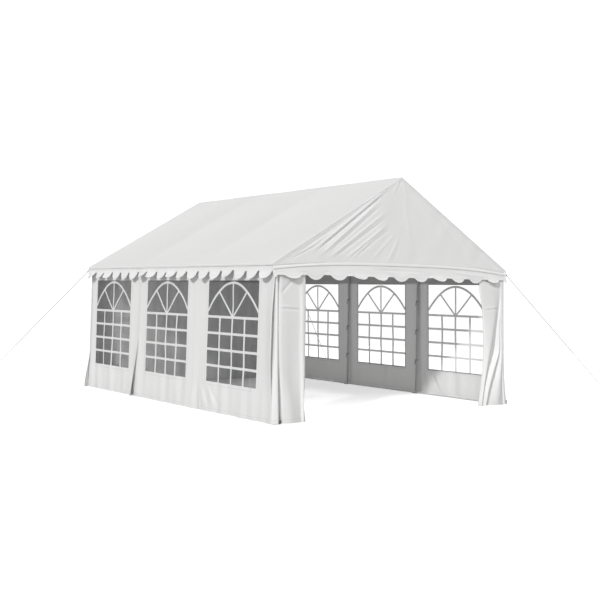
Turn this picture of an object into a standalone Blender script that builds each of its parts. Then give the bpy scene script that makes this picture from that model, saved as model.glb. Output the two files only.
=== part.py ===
"""A white event tent: a steel tube frame of three bays, with a cloth roof, window walls and an open front.

Metres, +Z up. The origin is on the ground under the middle of the tent. +X runs to the right along the front
gable, and +Y runs from the open front to the closed back.
"""

import math

import bmesh
import bpy
from mathutils import Vector

# Frame, between tube axes
BAY_LENGTH = 2.0
BAYS = 3
FRAME_WIDTH = 4.64
EAVE_HEIGHT = 2.286
RIDGE_HEIGHT = 3.62

# Tubes, connectors and feet
TUBE_RADIUS = 0.019
SLEEVE_WALL = 0.004
SLEEVE_LENGTH = 0.14
SOCKET_WALL = 0.0025
SOCKET_LENGTH = 0.16
GROUND_RAIL_RADIUS = 0.0125
FOOT_SIZE = 0.11
FOOT_THICKNESS = 0.006

# Cloth, window film, how far the side walls lean out at the foot, and the hanging edge of the roof
CLOTH = 0.003
FILM = 0.002
WALL_FLARE = 0.055
EAVE_OVERHANG = 0.06
GABLE_HEM = 0.03
VALANCE_BAND = 0.125
LOBE_DEPTH = 0.1
SIDE_LOBE_PITCH = 0.336
END_LOBE_PITCH = 0.392

# Windows, measured from the front post of each bay and down from the edge of the roof
WINDOW_FROM_POST = 0.38
WINDOW_WIDTH = 1.37
WINDOW_DROP = 0.245
WINDOW_HEIGHT = 1.55

# Curtains of the front, drawn open to the corner posts
CURTAIN_WIDTH = 0.48
CURTAIN_FOLDS = 4
CURTAIN_FOLD_DEPTH = 0.05

# Guy ropes and pegs
ROPE_RADIUS = 0.004
ROPE_TOP_DROP = 0.06
ROPE_REACH = 2.0
ROPE_TURN = math.radians(27)
ROPE_END_HEIGHT = 0.07
PEG_RADIUS = 0.007
PEG_HEIGHT = 0.11
PEG_HEAD_RADIUS = 0.013
PEG_HEAD_HEIGHT = 0.012

# Clearance between pieces that touch, and the number of flats round a tube
GAP = 0.0003
TUBE_SIDES = 16
ROPE_SIDES = 8
LOBE_STEPS = 8
FOLD_STEPS = 10

# Places that follow from the sizes above
HALF_WIDTH = FRAME_WIDTH / 2
HALF_LENGTH = BAY_LENGTH * BAYS / 2
STATIONS = [BAY_LENGTH * i - HALF_LENGTH for i in range(BAYS + 1)]
SLOPE = (RIDGE_HEIGHT - EAVE_HEIGHT) / HALF_WIDTH
SLOPE_ANGLE = math.atan(SLOPE)
SLEEVE_RADIUS = TUBE_RADIUS + SLEEVE_WALL
SOCKET_RADIUS = TUBE_RADIUS + SOCKET_WALL
TUBE_REACH = TUBE_RADIUS / math.cos(math.pi / TUBE_SIDES)
SLEEVE_REACH = SLEEVE_RADIUS / math.cos(math.pi / TUBE_SIDES)
GROUND_RAIL_REACH = GROUND_RAIL_RADIUS / math.cos(math.pi / TUBE_SIDES)

WALL_IN = HALF_WIDTH + SLEEVE_REACH + GAP
WALL_OUT = WALL_IN + CLOTH
SIDE_VALANCE_IN = WALL_OUT + EAVE_OVERHANG
SIDE_VALANCE_OUT = SIDE_VALANCE_IN + CLOTH
END_IN = HALF_LENGTH + SLEEVE_RADIUS + GAP
END_OUT = END_IN + CLOTH
GABLE_IN = END_OUT + GAP
GABLE_OUT = GABLE_IN + CLOTH
HEM_HEIGHT = FOOT_THICKNESS + GAP
FLARED_WALL_OUT = WALL_OUT + WALL_FLARE


def roof_underside(x):
    """Height of the roof cloth's lower face, this far from the middle."""
    return EAVE_HEIGHT + SLOPE * (HALF_WIDTH - x) + (SLEEVE_REACH + GAP) / math.cos(SLOPE_ANGLE)


def roof_topside(x):
    return roof_underside(x) + CLOTH / math.cos(SLOPE_ANGLE)


EAVE_EDGE = roof_underside(SIDE_VALANCE_OUT) - GAP
GABLE_FOOT = EAVE_EDGE - GABLE_HEM
END_VALANCE_TOP = GABLE_FOOT - GAP
VALANCE_CUSP = EAVE_EDGE - VALANCE_BAND
SIDE_WALL_TOP = roof_underside(WALL_OUT) - GAP


def clear_scene():
    for obj in list(bpy.data.objects):
        bpy.data.objects.remove(obj, do_unlink=True)


def material(name, colour, roughness, metallic=0.0):
    made = bpy.data.materials.get(name)
    if made:
        return made
    made = bpy.data.materials.new(name)
    made.use_nodes = True
    shader = made.node_tree.nodes["Principled BSDF"]
    shader.inputs["Base Color"].default_value = (*colour, 1.0)
    shader.inputs["Roughness"].default_value = roughness
    shader.inputs["Metallic"].default_value = metallic
    made.diffuse_color = (*colour, 1.0)
    return made


def steel():
    return material("galvanised_steel", (0.55, 0.56, 0.57), 0.4, 1.0)


def iron():
    return material("peg_iron", (0.12, 0.12, 0.13), 0.5, 1.0)


def roof_cloth():
    return material("roof_cloth", (0.85, 0.85, 0.84), 0.55)


def wall_cloth():
    return material("wall_cloth", (0.9, 0.9, 0.89), 0.6)


def window_film():
    return material("window_film", (0.55, 0.57, 0.58), 0.15)


def rope_cord():
    return material("rope_cord", (0.8, 0.8, 0.78), 0.8)


def add_object(name, shape, finish, smooth=False):
    """Makes a named object from a bmesh, with its faces turned outwards."""
    bmesh.ops.recalc_face_normals(shape, faces=shape.faces)
    mesh = bpy.data.meshes.new(name)
    shape.to_mesh(mesh)
    shape.free()
    mesh.materials.append(finish)
    if smooth:
        mesh.shade_smooth()
        mesh.set_sharp_from_angle(angle=math.radians(35))
    made = bpy.data.objects.new(name, mesh)
    bpy.context.scene.collection.objects.link(made)
    return made


def tube(name, start, end, radius, finish, sides=TUBE_SIDES):
    """A straight round bar from start to end, whose flats lie radius from its axis."""
    start, end = Vector(start), Vector(end)
    along = end - start
    shape = bmesh.new()
    corner = radius / math.cos(math.pi / sides)
    ring = []
    for i in range(sides):
        turn = 2 * math.pi * (i + 0.5) / sides
        ring.append(shape.verts.new((corner * math.cos(turn), corner * math.sin(turn), 0)))
    cap = shape.faces.new(ring)
    grown = bmesh.ops.extrude_face_region(shape, geom=[cap])["geom"]
    top = [v for v in grown if isinstance(v, bmesh.types.BMVert)]
    bmesh.ops.translate(shape, verts=top, vec=(0, 0, along.length))
    made = add_object(name, shape, finish, smooth=True)
    made.rotation_mode = "QUATERNION"
    made.rotation_quaternion = along.to_track_quat("Z", "Y")
    made.location = start
    return made


def block(name, low, high, finish):
    """A box between two corners."""
    low, high = Vector(low), Vector(high)
    shape = bmesh.new()
    bmesh.ops.create_cube(shape, size=1.0)
    bmesh.ops.scale(shape, verts=shape.verts, vec=high - low)
    made = add_object(name, shape, finish)
    made.location = (low + high) / 2
    return made


def plate(name, outline, thickness, finish):
    """A flat outline of points, made as thick as the vector thickness."""
    shape = bmesh.new()
    face = shape.faces.new([shape.verts.new(point) for point in outline])
    grown = bmesh.ops.extrude_face_region(shape, geom=[face])["geom"]
    moved = [v for v in grown if isinstance(v, bmesh.types.BMVert)]
    bmesh.ops.translate(shape, verts=moved, vec=thickness)
    return add_object(name, shape, finish)


def turned(name, profile, place, finish, sides=TUBE_SIDES):
    """A solid turned about a vertical axis from (radius, height) points, lowest first."""
    shape = bmesh.new()
    rings = []
    for radius, height in profile:
        turns = [2 * math.pi * (i + 0.5) / sides for i in range(sides)]
        rings.append([shape.verts.new((radius * math.cos(t), radius * math.sin(t), height)) for t in turns])
    for lower, upper in zip(rings, rings[1:]):
        for i in range(sides):
            j = (i + 1) % sides
            shape.faces.new((lower[i], lower[j], upper[j], upper[i]))
    shape.faces.new(rings[0])
    shape.faces.new(rings[-1])
    made = add_object(name, shape, finish, smooth=True)
    made.location = place
    return made


def helper(made):
    """Keeps an object that only shapes another one out of the model."""
    made.hide_render = True
    made.display_type = "WIRE"
    return made


def combine(target, other, operation):
    change = target.modifiers.new(other.name, "BOOLEAN")
    change.operation = operation
    change.solver = "EXACT"
    change.object = helper(other)


def side_name(side):
    return "left" if side < 0 else "right"


def rafter_line(side, y, distance):
    """The point of a rafter's axis that lies this far up the slope from the eave rail's axis."""
    run = distance * math.cos(SLOPE_ANGLE)
    rise = distance * math.sin(SLOPE_ANGLE)
    return (side * (HALF_WIDTH - run), y, EAVE_HEIGHT + rise)


def sleeve_span(y):
    """Where a connector's sleeve starts and ends along the rail, flush with the frame's end at an end station."""
    limit = HALF_LENGTH + SLEEVE_RADIUS
    return max(y - SLEEVE_LENGTH / 2, -limit), min(y + SLEEVE_LENGTH / 2, limit)


def make_rail(name, x, z, sockets):
    """A rail along Y with a welded connector at each station; sockets gives the far ends of its stubs."""
    end = HALF_LENGTH + SLEEVE_WALL
    rail = tube(name, (x, -end, z), (x, end, z), TUBE_RADIUS, steel())
    for i, y in enumerate(STATIONS, start=1):
        front, back = sleeve_span(y)
        sleeve = tube(f"{name}_sleeve_{i}", (x, front, z), (x, back, z), SLEEVE_RADIUS, steel())
        combine(rail, sleeve, "UNION")
        for j, far_end in enumerate(sockets(y), start=1):
            socket = tube(f"{name}_socket_{i}_{j}", (x, y, z), far_end, SOCKET_RADIUS, steel())
            combine(rail, socket, "UNION")
    return rail


def make_posts():
    top = EAVE_HEIGHT - SOCKET_LENGTH - GAP
    half = FOOT_SIZE / 2
    for side in (-1, 1):
        x = side * HALF_WIDTH
        for i, y in enumerate(STATIONS, start=1):
            name = f"{side_name(side)}_post_{i}"
            post = tube(name, (x, y, FOOT_THICKNESS / 2), (x, y, top), TUBE_RADIUS, steel())
            foot = block(f"{name}_foot", (x - half, y - half, 0), (x + half, y + half, FOOT_THICKNESS), steel())
            combine(post, foot, "UNION")


def make_rafters():
    length = math.hypot(HALF_WIDTH, RIDGE_HEIGHT - EAVE_HEIGHT)
    low = SOCKET_LENGTH + GAP
    high = length - SOCKET_LENGTH - GAP
    for side in (-1, 1):
        for i, y in enumerate(STATIONS, start=1):
            start, end = rafter_line(side, y, low), rafter_line(side, y, high)
            tube(f"{side_name(side)}_rafter_{i}", start, end, TUBE_RADIUS, steel())


def make_rails():
    for side in (-1, 1):
        x = side * HALF_WIDTH

        def eave_sockets(y, side=side, x=x):
            return [(x, y, EAVE_HEIGHT - SOCKET_LENGTH), rafter_line(side, y, SOCKET_LENGTH)]

        make_rail(f"{side_name(side)}_eave_rail", x, EAVE_HEIGHT, eave_sockets)

    def ridge_sockets(y):
        run = SOCKET_LENGTH * math.cos(SLOPE_ANGLE)
        drop = SOCKET_LENGTH * math.sin(SLOPE_ANGLE)
        return [(side * run, y, RIDGE_HEIGHT - drop) for side in (-1, 1)]

    make_rail("ridge_rail", 0, RIDGE_HEIGHT, ridge_sockets)


def make_ground_rails():
    """Rails that lie on the feet, close inside the posts, along both sides and the back."""
    inset = TUBE_REACH + GAP + GROUND_RAIL_REACH
    z = FOOT_THICKNESS + GAP + GROUND_RAIL_REACH
    x = HALF_WIDTH - inset
    back = HALF_LENGTH - inset
    for side in (-1, 1):
        start, end = (side * x, -HALF_LENGTH, z), (side * x, back + GROUND_RAIL_RADIUS, z)
        tube(f"{side_name(side)}_ground_rail", start, end, GROUND_RAIL_RADIUS, steel())
    reach = x - GROUND_RAIL_REACH - GAP
    tube("back_ground_rail", (-reach, back, z), (reach, back, z), GROUND_RAIL_RADIUS, steel())


def make_roof():
    for side in (-1, 1):
        near, far = GAP / 2, SIDE_VALANCE_OUT
        outline = [
            (side * near, -GABLE_OUT, roof_underside(near)),
            (side * far, -GABLE_OUT, roof_underside(far)),
            (side * far, -GABLE_OUT, roof_topside(far)),
            (side * near, -GABLE_OUT, roof_topside(near)),
        ]
        plate(f"roof_{side_name(side)}", outline, (0, 2 * GABLE_OUT, 0), roof_cloth())


def make_gables():
    edge = SIDE_VALANCE_OUT
    for end, name in ((-1, "front"), (1, "back")):
        y = end * GABLE_IN
        outline = [
            (-edge, y, GABLE_FOOT),
            (edge, y, GABLE_FOOT),
            (edge, y, EAVE_EDGE),
            (0, y, roof_underside(0) - GAP),
            (-edge, y, EAVE_EDGE),
        ]
        plate(f"gable_{name}", outline, (0, end * CLOTH, 0), roof_cloth())


def lean(z):
    """How far the side walls and the valances over them stand out at this height."""
    return WALL_FLARE * (SIDE_WALL_TOP - z) / (SIDE_WALL_TOP - HEM_HEIGHT)


def scallop(top_half, cusp_half, top, usual_pitch):
    """Points (along, height) of a hanging strip with a row of rounded lobes at its foot."""
    lobes = max(1, round(2 * cusp_half / usual_pitch))
    pitch = 2 * cusp_half / lobes
    points = [(top_half, top), (-top_half, top)]
    for i in range(lobes):
        for step in range(LOBE_STEPS):
            part = step / LOBE_STEPS
            depth = LOBE_DEPTH * math.sin(math.pi * part)
            points.append((-cusp_half + pitch * (i + part), VALANCE_CUSP - depth))
    points.append((cusp_half, VALANCE_CUSP))
    return points


def make_valances():
    top_half = SIDE_VALANCE_OUT + lean(END_VALANCE_TOP)
    cusp_half = SIDE_VALANCE_OUT + lean(VALANCE_CUSP)
    for end, name in ((-1, "front"), (1, "back")):
        points = scallop(top_half, cusp_half, END_VALANCE_TOP, END_LOBE_PITCH)
        outline = [(along, end * GABLE_IN, z) for along, z in points]
        plate(f"valance_{name}", outline, (0, end * CLOTH, 0), roof_cloth())
    half = GABLE_IN - GAP
    for side in (-1, 1):
        points = scallop(half, half, EAVE_EDGE, SIDE_LOBE_PITCH)
        outline = [(side * (SIDE_VALANCE_IN + lean(z)), along, z) for along, z in points]
        plate(f"valance_{side_name(side)}", outline, (side * CLOTH, 0, 0), roof_cloth())


def panel_span(i):
    """The stretch along Y of a side wall's panel; the end panels reach past the corner posts."""
    front = -(END_IN - GAP) if i == 0 else STATIONS[i] + GAP / 2
    back = END_IN - GAP if i == BAYS - 1 else STATIONS[i + 1] - GAP / 2
    return front, back


def leaning_plate(name, side, inside, y_range, z_range, thickness, finish):
    """A plate that follows a side wall's lean; inside is the distance of its inner face at the wall's top."""
    front, back = y_range
    low, high = z_range
    low_x, high_x = side * (inside + lean(low)), side * (inside + lean(high))
    outline = [(low_x, front, low), (low_x, back, low), (high_x, back, high), (high_x, front, high)]
    return plate(name, outline, (side * thickness, 0, 0), finish)


def make_side_walls():
    head = EAVE_EDGE - WINDOW_DROP
    sill = head - WINDOW_HEIGHT
    for side in (-1, 1):
        for i in range(BAYS):
            name = f"{side_name(side)}_wall_panel_{i + 1}"
            heights = (HEM_HEIGHT, SIDE_WALL_TOP)
            panel = leaning_plate(name, side, WALL_IN, panel_span(i), heights, CLOTH, wall_cloth())
            near = STATIONS[i] + WINDOW_FROM_POST
            far = near + WINDOW_WIDTH
            hole_inside = WALL_IN - CLOTH
            hole = leaning_plate(f"{name}_hole", side, hole_inside, (near, far), (sill, head), 3 * CLOTH, wall_cloth())
            combine(panel, hole, "DIFFERENCE")
            pane = f"{side_name(side)}_window_{i + 1}"
            pane_inside = WALL_IN + (CLOTH - FILM) / 2
            span, heights = (near + GAP, far - GAP), (sill + GAP, head - GAP)
            leaning_plate(pane, side, pane_inside, span, heights, FILM, window_film())


def make_back_wall():
    """Two closed door halves of cloth that meet at the middle of the back and follow the side walls' lean."""
    for side in (-1, 1):
        outline = [
            (side * GAP / 2, END_IN, HEM_HEIGHT),
            (side * FLARED_WALL_OUT, END_IN, HEM_HEIGHT),
            (side * (WALL_OUT + lean(END_VALANCE_TOP)), END_IN, END_VALANCE_TOP),
            (side * GAP / 2, END_IN, END_VALANCE_TOP),
        ]
        plate(f"back_wall_{side_name(side)}", outline, (0, CLOTH, 0), wall_cloth())


def make_curtains():
    """Cloth folded back to each front corner post: flat past the post, then in folds that reach inwards."""
    inner_face = HALF_WIDTH - TUBE_REACH - FOOT_SIZE / 4
    front, back = -END_OUT, -END_IN
    for side in (-1, 1):
        run = [(WALL_OUT, 0.0), (inner_face, 0.0)]
        steps = CURTAIN_FOLDS * FOLD_STEPS
        for step in range(1, steps + 1):
            part = step / steps
            depth = CURTAIN_FOLD_DEPTH * (1 - math.cos(2 * math.pi * CURTAIN_FOLDS * part)) / 2
            run.append((inner_face - CURTAIN_WIDTH * part, depth))
        outer = [(side * x, front + depth, HEM_HEIGHT) for x, depth in run]
        inner = [(side * x, back + depth, HEM_HEIGHT) for x, depth in reversed(run)]
        height = END_VALANCE_TOP - HEM_HEIGHT
        plate(f"front_curtain_{side_name(side)}", outer + inner, (0, 0, height), wall_cloth())


def make_guy_ropes():
    """Three ropes, each from under a corner of the roof to a peg; the front left corner has none."""
    corners = {"front_right": (1, -1), "back_left": (-1, 1), "back_right": (1, 1)}
    top_height = EAVE_EDGE - ROPE_TOP_DROP
    for name, (side, end) in corners.items():
        outward = Vector((side * math.cos(ROPE_TURN), end * math.sin(ROPE_TURN), 0))
        corner = Vector((side * (SIDE_VALANCE_OUT + lean(top_height)), end * GABLE_OUT, top_height))
        peg_place = corner + outward * ROPE_REACH
        peg_place.z = 0
        steepness = math.atan2(top_height - ROPE_END_HEIGHT, ROPE_REACH)
        rim = ROPE_RADIUS / math.cos(math.pi / ROPE_SIDES) * math.sin(steepness)
        start = corner + outward * (rim + GAP)
        end_point = peg_place - outward * (PEG_RADIUS + rim + GAP)
        end_point.z = ROPE_END_HEIGHT
        tube(f"guy_rope_{name}", start, end_point, ROPE_RADIUS, rope_cord(), sides=ROPE_SIDES)
        neck = PEG_HEIGHT - PEG_HEAD_HEIGHT
        profile = [(PEG_RADIUS, 0), (PEG_RADIUS, neck), (PEG_HEAD_RADIUS, neck), (PEG_HEAD_RADIUS, PEG_HEIGHT)]
        turned(f"peg_{name}", profile, peg_place, iron())


def main():
    clear_scene()
    make_posts()
    make_rafters()
    make_rails()
    make_ground_rails()
    make_roof()
    make_gables()
    make_valances()
    make_side_walls()
    make_back_wall()
    make_curtains()
    make_guy_ropes()


main()
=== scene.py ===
"""Finish of a white event tent: cloth, window film, ropes and fittings on its packed tube frame.

Metres, +Z up. +X runs to the right along the open front, and +Y from the front to the closed back.
"""

import math
import random
from collections import namedtuple

import bpy
import numpy as np
from mathutils import Matrix, Vector


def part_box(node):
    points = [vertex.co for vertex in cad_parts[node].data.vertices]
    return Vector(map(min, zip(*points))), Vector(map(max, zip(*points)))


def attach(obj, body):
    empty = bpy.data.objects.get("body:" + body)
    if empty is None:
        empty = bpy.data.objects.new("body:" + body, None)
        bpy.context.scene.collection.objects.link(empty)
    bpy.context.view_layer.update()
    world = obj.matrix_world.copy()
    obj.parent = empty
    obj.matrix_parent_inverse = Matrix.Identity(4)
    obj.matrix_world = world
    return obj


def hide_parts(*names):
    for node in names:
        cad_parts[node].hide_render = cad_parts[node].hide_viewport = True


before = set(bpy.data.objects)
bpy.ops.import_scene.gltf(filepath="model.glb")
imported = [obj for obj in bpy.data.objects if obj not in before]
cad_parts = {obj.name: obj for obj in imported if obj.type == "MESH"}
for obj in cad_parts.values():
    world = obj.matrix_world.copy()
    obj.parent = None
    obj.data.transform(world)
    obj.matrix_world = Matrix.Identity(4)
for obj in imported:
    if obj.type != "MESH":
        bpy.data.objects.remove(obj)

bl_info = {
    "name": "Event Tent",
    "version": (1, 0, 0),
    "blender": (4, 5, 0),
    "location": "3D View > Sidebar > Event Tent",
    "description": "Hangs the cloth of a party tent on its tube frame, with windows, ropes and fittings",
    "category": "Add Mesh",
}

PHOTO_WIDTH = 600
# How far a window's arch has come down at its sides, as a share of its rise
ARCH_DROP = 0.83
SIDES = {"left": -1, "right": 1}
ENDS = {"front": -1, "back": 1}
BAYS = (1, 2, 3)
POSTS = (1, 2, 3, 4)


def middle(node):
    low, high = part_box(node)
    return (low + high) / 2


# Places taken from the frame
STATIONS = [middle(f"right_post_{i}").y for i in POSTS]
POST_X = middle("right_post_1").x
POST_RADIUS = (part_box("right_rafter_1")[1].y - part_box("right_rafter_1")[0].y) / 2
ROOF_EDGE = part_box("roof_right")[1].x
ROOF_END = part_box("roof_right")[1].y
GABLE_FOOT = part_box("gable_front")[0].z
GABLE_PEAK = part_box("gable_front")[1].z
GABLE_FACE = -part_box("gable_front")[0].y
VALANCE_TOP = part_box("valance_left")[1].z
VALANCE_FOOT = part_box("valance_left")[0].z
VALANCE_EDGE = -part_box("valance_left")[1].x
WALL_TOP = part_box("right_wall_panel_1")[1].z
WALL_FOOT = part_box("right_wall_panel_1")[0].z
WALL_TOP_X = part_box("right_wall_panel_1")[0].x
WALL_FOOT_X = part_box("right_wall_panel_1")[1].x
BACK_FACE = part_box("back_wall_left")[1].y
ROOF_SLOPE = (GABLE_PEAK - VALANCE_TOP) / ROOF_EDGE
ROOF_ANGLE = math.atan(ROOF_SLOPE)
# Half the thickness of the solids' cloth plates, and so how far inside their faces the cloth lies
HALF_PLATE = 0.0015

# Places along the cloth's edge, by their distance from the hem
HEM_WIDTH = 0.032
WELD_PLACE = 0.050
WELD_HALF_WIDTH = 0.004
# Height up to which the cloth's foot is splashed, and the share of its colour that soiled cloth keeps
SPLASH_HEIGHT = 0.28
SOILED = 0.80
# Rounding of the edges of small boxes
EDGE_ROUNDING = 0.0012
# Height below which the last wall panels hang loose from their posts
LOOSE_BELOW = 1.05

Fold = namedtuple("Fold", "start end half_width height")
# A row of lobes: how far each may curl out, how full it is and how much of its pitch it fills
Lobes = namedtuple("Lobes", "start pitch depth curls fullness share")
# Corners that a guy rope holds
ROPE_CORNERS = ("front_right", "back_left", "back_right")

# Drag folds of the front gable, from the peak down to the left, as (across, height) places
GABLE_FOLDS = [
    Fold((-0.22, 3.50), (-1.76, 2.42), 0.022, 0.012),
    Fold((-0.30, 3.40), (-1.70, 2.40), 0.016, -0.010),
    Fold((-0.44, 3.25), (-1.64, 2.34), 0.018, 0.009),
    Fold((-0.34, 3.24), (-1.46, 2.40), 0.014, -0.007),
    Fold((-0.26, 3.13), (-1.45, 2.33), 0.018, 0.009),
    Fold((-0.24, 3.04), (-1.36, 2.33), 0.014, -0.007),
    Fold((-0.24, 2.93), (-1.14, 2.33), 0.018, 0.009),
    Fold((-0.20, 2.86), (-0.96, 2.36), 0.013, -0.006),
    Fold((-0.58, 2.66), (-1.00, 2.33), 0.014, 0.006),
    Fold((-0.12, 2.78), (-0.60, 2.34), 0.014, 0.006),
    Fold((-0.04, 2.72), (-0.28, 2.31), 0.014, 0.007),
    Fold((-0.02, 2.60), (-0.16, 2.32), 0.012, -0.005),
    Fold((-1.20, 2.88), (-2.02, 2.38), 0.018, -0.004),
    Fold((-1.34, 2.75), (-2.00, 2.38), 0.018, 0.004),
    Fold((-1.50, 2.60), (-2.14, 2.30), 0.012, -0.004),
    Fold((0.72, 3.12), (1.66, 2.36), 0.040, -0.005),
    Fold((0.40, 3.26), (1.30, 2.50), 0.060, 0.004),
    Fold((0.05, 3.40), (0.20, 2.60), 0.050, 0.004),
    Fold((-2.40, 2.222), (-1.40, 2.284), 0.010, -0.011),
    Fold((2.38, 2.215), (1.60, 2.300), 0.014, -0.006),
]
PEAK_FOLDS = [
    Fold((-0.02, 3.62), (-0.19, 3.36), 0.012, 0.006),
    Fold((-0.01, 3.62), (-0.09, 3.40), 0.010, -0.006),
    Fold((0.02, 3.60), (0.10, 3.38), 0.012, 0.004),
]
FRONT_BAND_FOLDS = [
    Fold((-0.60, 2.205), (0.55, 2.190), 0.012, -0.006),
    Fold((1.00, 2.215), (2.20, 2.120), 0.014, 0.006),
]
# Plan lines of the front cloth, as (x, y) places at some heights: curtains from the free edge to
# the post, and flaps from the curtain round the post
RIGHT_CURTAIN = [
    (2.22, [
        (1.85, -2.96), (1.78, -2.975), (1.8, -2.99), (2.04, -2.992), (2.235, -3.014), (2.255, -3.018),
        (2.275, -3.02), (2.292, -3.02), (2.31, -3.02),
    ]),
    (1.95, [
        (1.88, -2.98), (1.8, -3.0), (1.82, -3.03), (2.06, -3.034), (2.262, -3.028), (2.28, -3.028),
        (2.294, -3.032), (2.308, -3.034), (2.32, -3.028),
    ]),
    (1.6, [
        (1.92, -2.99), (1.865, -3.015), (1.89, -3.044), (2.13, -3.058), (2.264, -3.012), (2.284, -3.026),
        (2.3, -3.042), (2.312, -3.046), (2.324, -3.034),
    ]),
    (1.25, [
        (1.95, -2.99), (1.89, -3.02), (1.92, -3.056), (2.075, -3.078), (2.214, -2.998), (2.254, -3.046),
        (2.28, -3.034), (2.305, -3.05), (2.328, -3.04),
    ]),
    (0.9, [
        (1.96, -2.99), (1.9, -3.02), (1.925, -3.064), (2.005, -3.084), (2.165, -2.984), (2.236, -3.066),
        (2.272, -3.026), (2.306, -3.066), (2.335, -3.048),
    ]),
    (0.6, [
        (1.955, -2.985), (1.886, -3.015), (1.9, -3.058), (1.935, -3.078), (2.01, -3.002), (2.09, -3.094),
        (2.185, -3.018), (2.262, -3.09), (2.345, -3.052),
    ]),
    (0.3, [
        (1.93, -2.98), (1.852, -3.01), (1.864, -3.058), (1.88, -3.072), (1.914, -3.02), (1.978, -3.098),
        (2.066, -3.028), (2.215, -3.098), (2.352, -3.058),
    ]),
    (0.008, [
        (1.87, -2.98), (1.8, -3.01), (1.815, -3.062), (1.832, -3.076), (1.86, -3.04), (1.904, -3.098),
        (1.965, -3.044), (2.17, -3.1), (2.368, -3.064),
    ]),
]
LEFT_CURTAIN = [
    (2.22, [
        (-1.95, -2.96), (-1.825, -2.97), (-1.815, -2.99), (-1.875, -2.992), (-1.935, -2.988),
        (-2.03, -2.99), (-2.15, -2.996), (-2.25, -3.018), (-2.29, -3.016),
    ]),
    (2.0, [
        (-1.96, -2.97), (-1.835, -2.985), (-1.825, -3.016), (-1.88, -3.024), (-1.945, -3.014),
        (-2.04, -3.014), (-2.16, -3.02), (-2.25, -3.03), (-2.292, -3.02),
    ]),
    (1.6, [
        (-1.97, -2.985), (-1.85, -3.005), (-1.84, -3.05), (-1.895, -3.066), (-1.95, -3.048),
        (-2.05, -3.046), (-2.17, -3.048), (-2.26, -3.042), (-2.298, -3.022),
    ]),
    (1.1, [
        (-1.98, -2.99), (-1.862, -3.005), (-1.845, -3.055), (-1.895, -3.074), (-1.957, -3.05),
        (-2.06, -3.046), (-2.18, -3.05), (-2.26, -3.044), (-2.3, -3.022),
    ]),
    (0.6, [
        (-1.97, -2.985), (-1.845, -2.995), (-1.85, -3.062), (-1.885, -3.084), (-1.935, -3.052),
        (-2.05, -3.046), (-2.16, -3.058), (-2.24, -3.05), (-2.272, -3.024),
    ]),
    (0.3, [
        (-1.96, -2.98), (-1.825, -2.985), (-1.855, -3.056), (-1.88, -3.082), (-1.905, -3.046),
        (-2.01, -3.062), (-2.12, -3.078), (-2.22, -3.056), (-2.252, -3.024),
    ]),
    (0.008, [
        (-1.95, -2.98), (-1.785, -2.985), (-1.845, -3.062), (-1.87, -3.086), (-1.895, -3.056),
        (-1.98, -3.076), (-2.1, -3.092), (-2.2, -3.064), (-2.24, -3.028),
    ]),
]
LEFT_FLAP = [
    (2.22, [
        (-2.296, -3.008), (-2.306, -3.02), (-2.316, -3.026), (-2.33, -3.026), (-2.34, -3.018),
        (-2.341, -2.98), (-2.339, -2.86),
    ]),
    (1.6, [
        (-2.298, -3.01), (-2.31, -3.032), (-2.324, -3.038), (-2.336, -3.036), (-2.346, -3.022),
        (-2.346, -2.98), (-2.345, -2.86),
    ]),
    (1.1, [
        (-2.29, -3.006), (-2.308, -3.036), (-2.326, -3.052), (-2.342, -3.046), (-2.356, -3.024),
        (-2.356, -2.98), (-2.358, -2.86),
    ]),
    (0.6, [
        (-2.256, -3.0), (-2.294, -3.032), (-2.326, -3.07), (-2.354, -3.062), (-2.38, -3.032),
        (-2.382, -2.99), (-2.376, -2.86),
    ]),
    (0.3, [
        (-2.236, -2.996), (-2.286, -3.03), (-2.324, -3.084), (-2.36, -3.076), (-2.396, -3.042),
        (-2.396, -2.99), (-2.386, -2.86),
    ]),
    (0.008, [
        (-2.216, -2.99), (-2.282, -3.03), (-2.322, -3.094), (-2.362, -3.086), (-2.408, -3.05),
        (-2.406, -3.0), (-2.392, -2.86),
    ]),
]
RIGHT_FLAP = [
    (2.22, [
        (2.296, -3.008), (2.312, -3.022), (2.335, -3.026), (2.362, -3.022), (2.384, -3.008), (2.388, -2.98),
        (2.384, -2.9),
    ]),
    (1.6, [
        (2.3, -3.012), (2.316, -3.032), (2.338, -3.04), (2.366, -3.034), (2.388, -3.014), (2.39, -2.98),
        (2.386, -2.9),
    ]),
    (1.1, [
        (2.3, -3.01), (2.318, -3.038), (2.342, -3.05), (2.372, -3.042), (2.394, -3.018), (2.396, -2.98),
        (2.394, -2.9),
    ]),
    (0.6, [
        (2.3, -3.008), (2.32, -3.042), (2.346, -3.062), (2.382, -3.052), (2.408, -3.024), (2.412, -2.985),
        (2.408, -2.9),
    ]),
    (0.25, [
        (2.312, -3.008), (2.332, -3.044), (2.358, -3.074), (2.398, -3.064), (2.428, -3.034), (2.43, -2.99),
        (2.424, -2.9),
    ]),
    (0.008, [
        (2.33, -3.01), (2.35, -3.046), (2.376, -3.082), (2.42, -3.076), (2.464, -3.046), (2.46, -3.0),
        (2.44, -2.9),
    ]),
]
LEFT_CURTAIN_FOLDS = [
    Fold((-1.96, 2.10), (-2.28, 1.82), 0.020, -0.010),
    Fold((-2.31, 1.655), (-1.93, 1.632), 0.012, 0.009),
    Fold((-2.31, 1.629), (-1.93, 1.606), 0.012, -0.007),
]
RIGHT_CURTAIN_FOLDS = [
    Fold((1.88, 1.590), (2.26, 1.625), 0.012, -0.007),
    Fold((1.88, 1.616), (2.26, 1.651), 0.012, 0.008),
]
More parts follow.
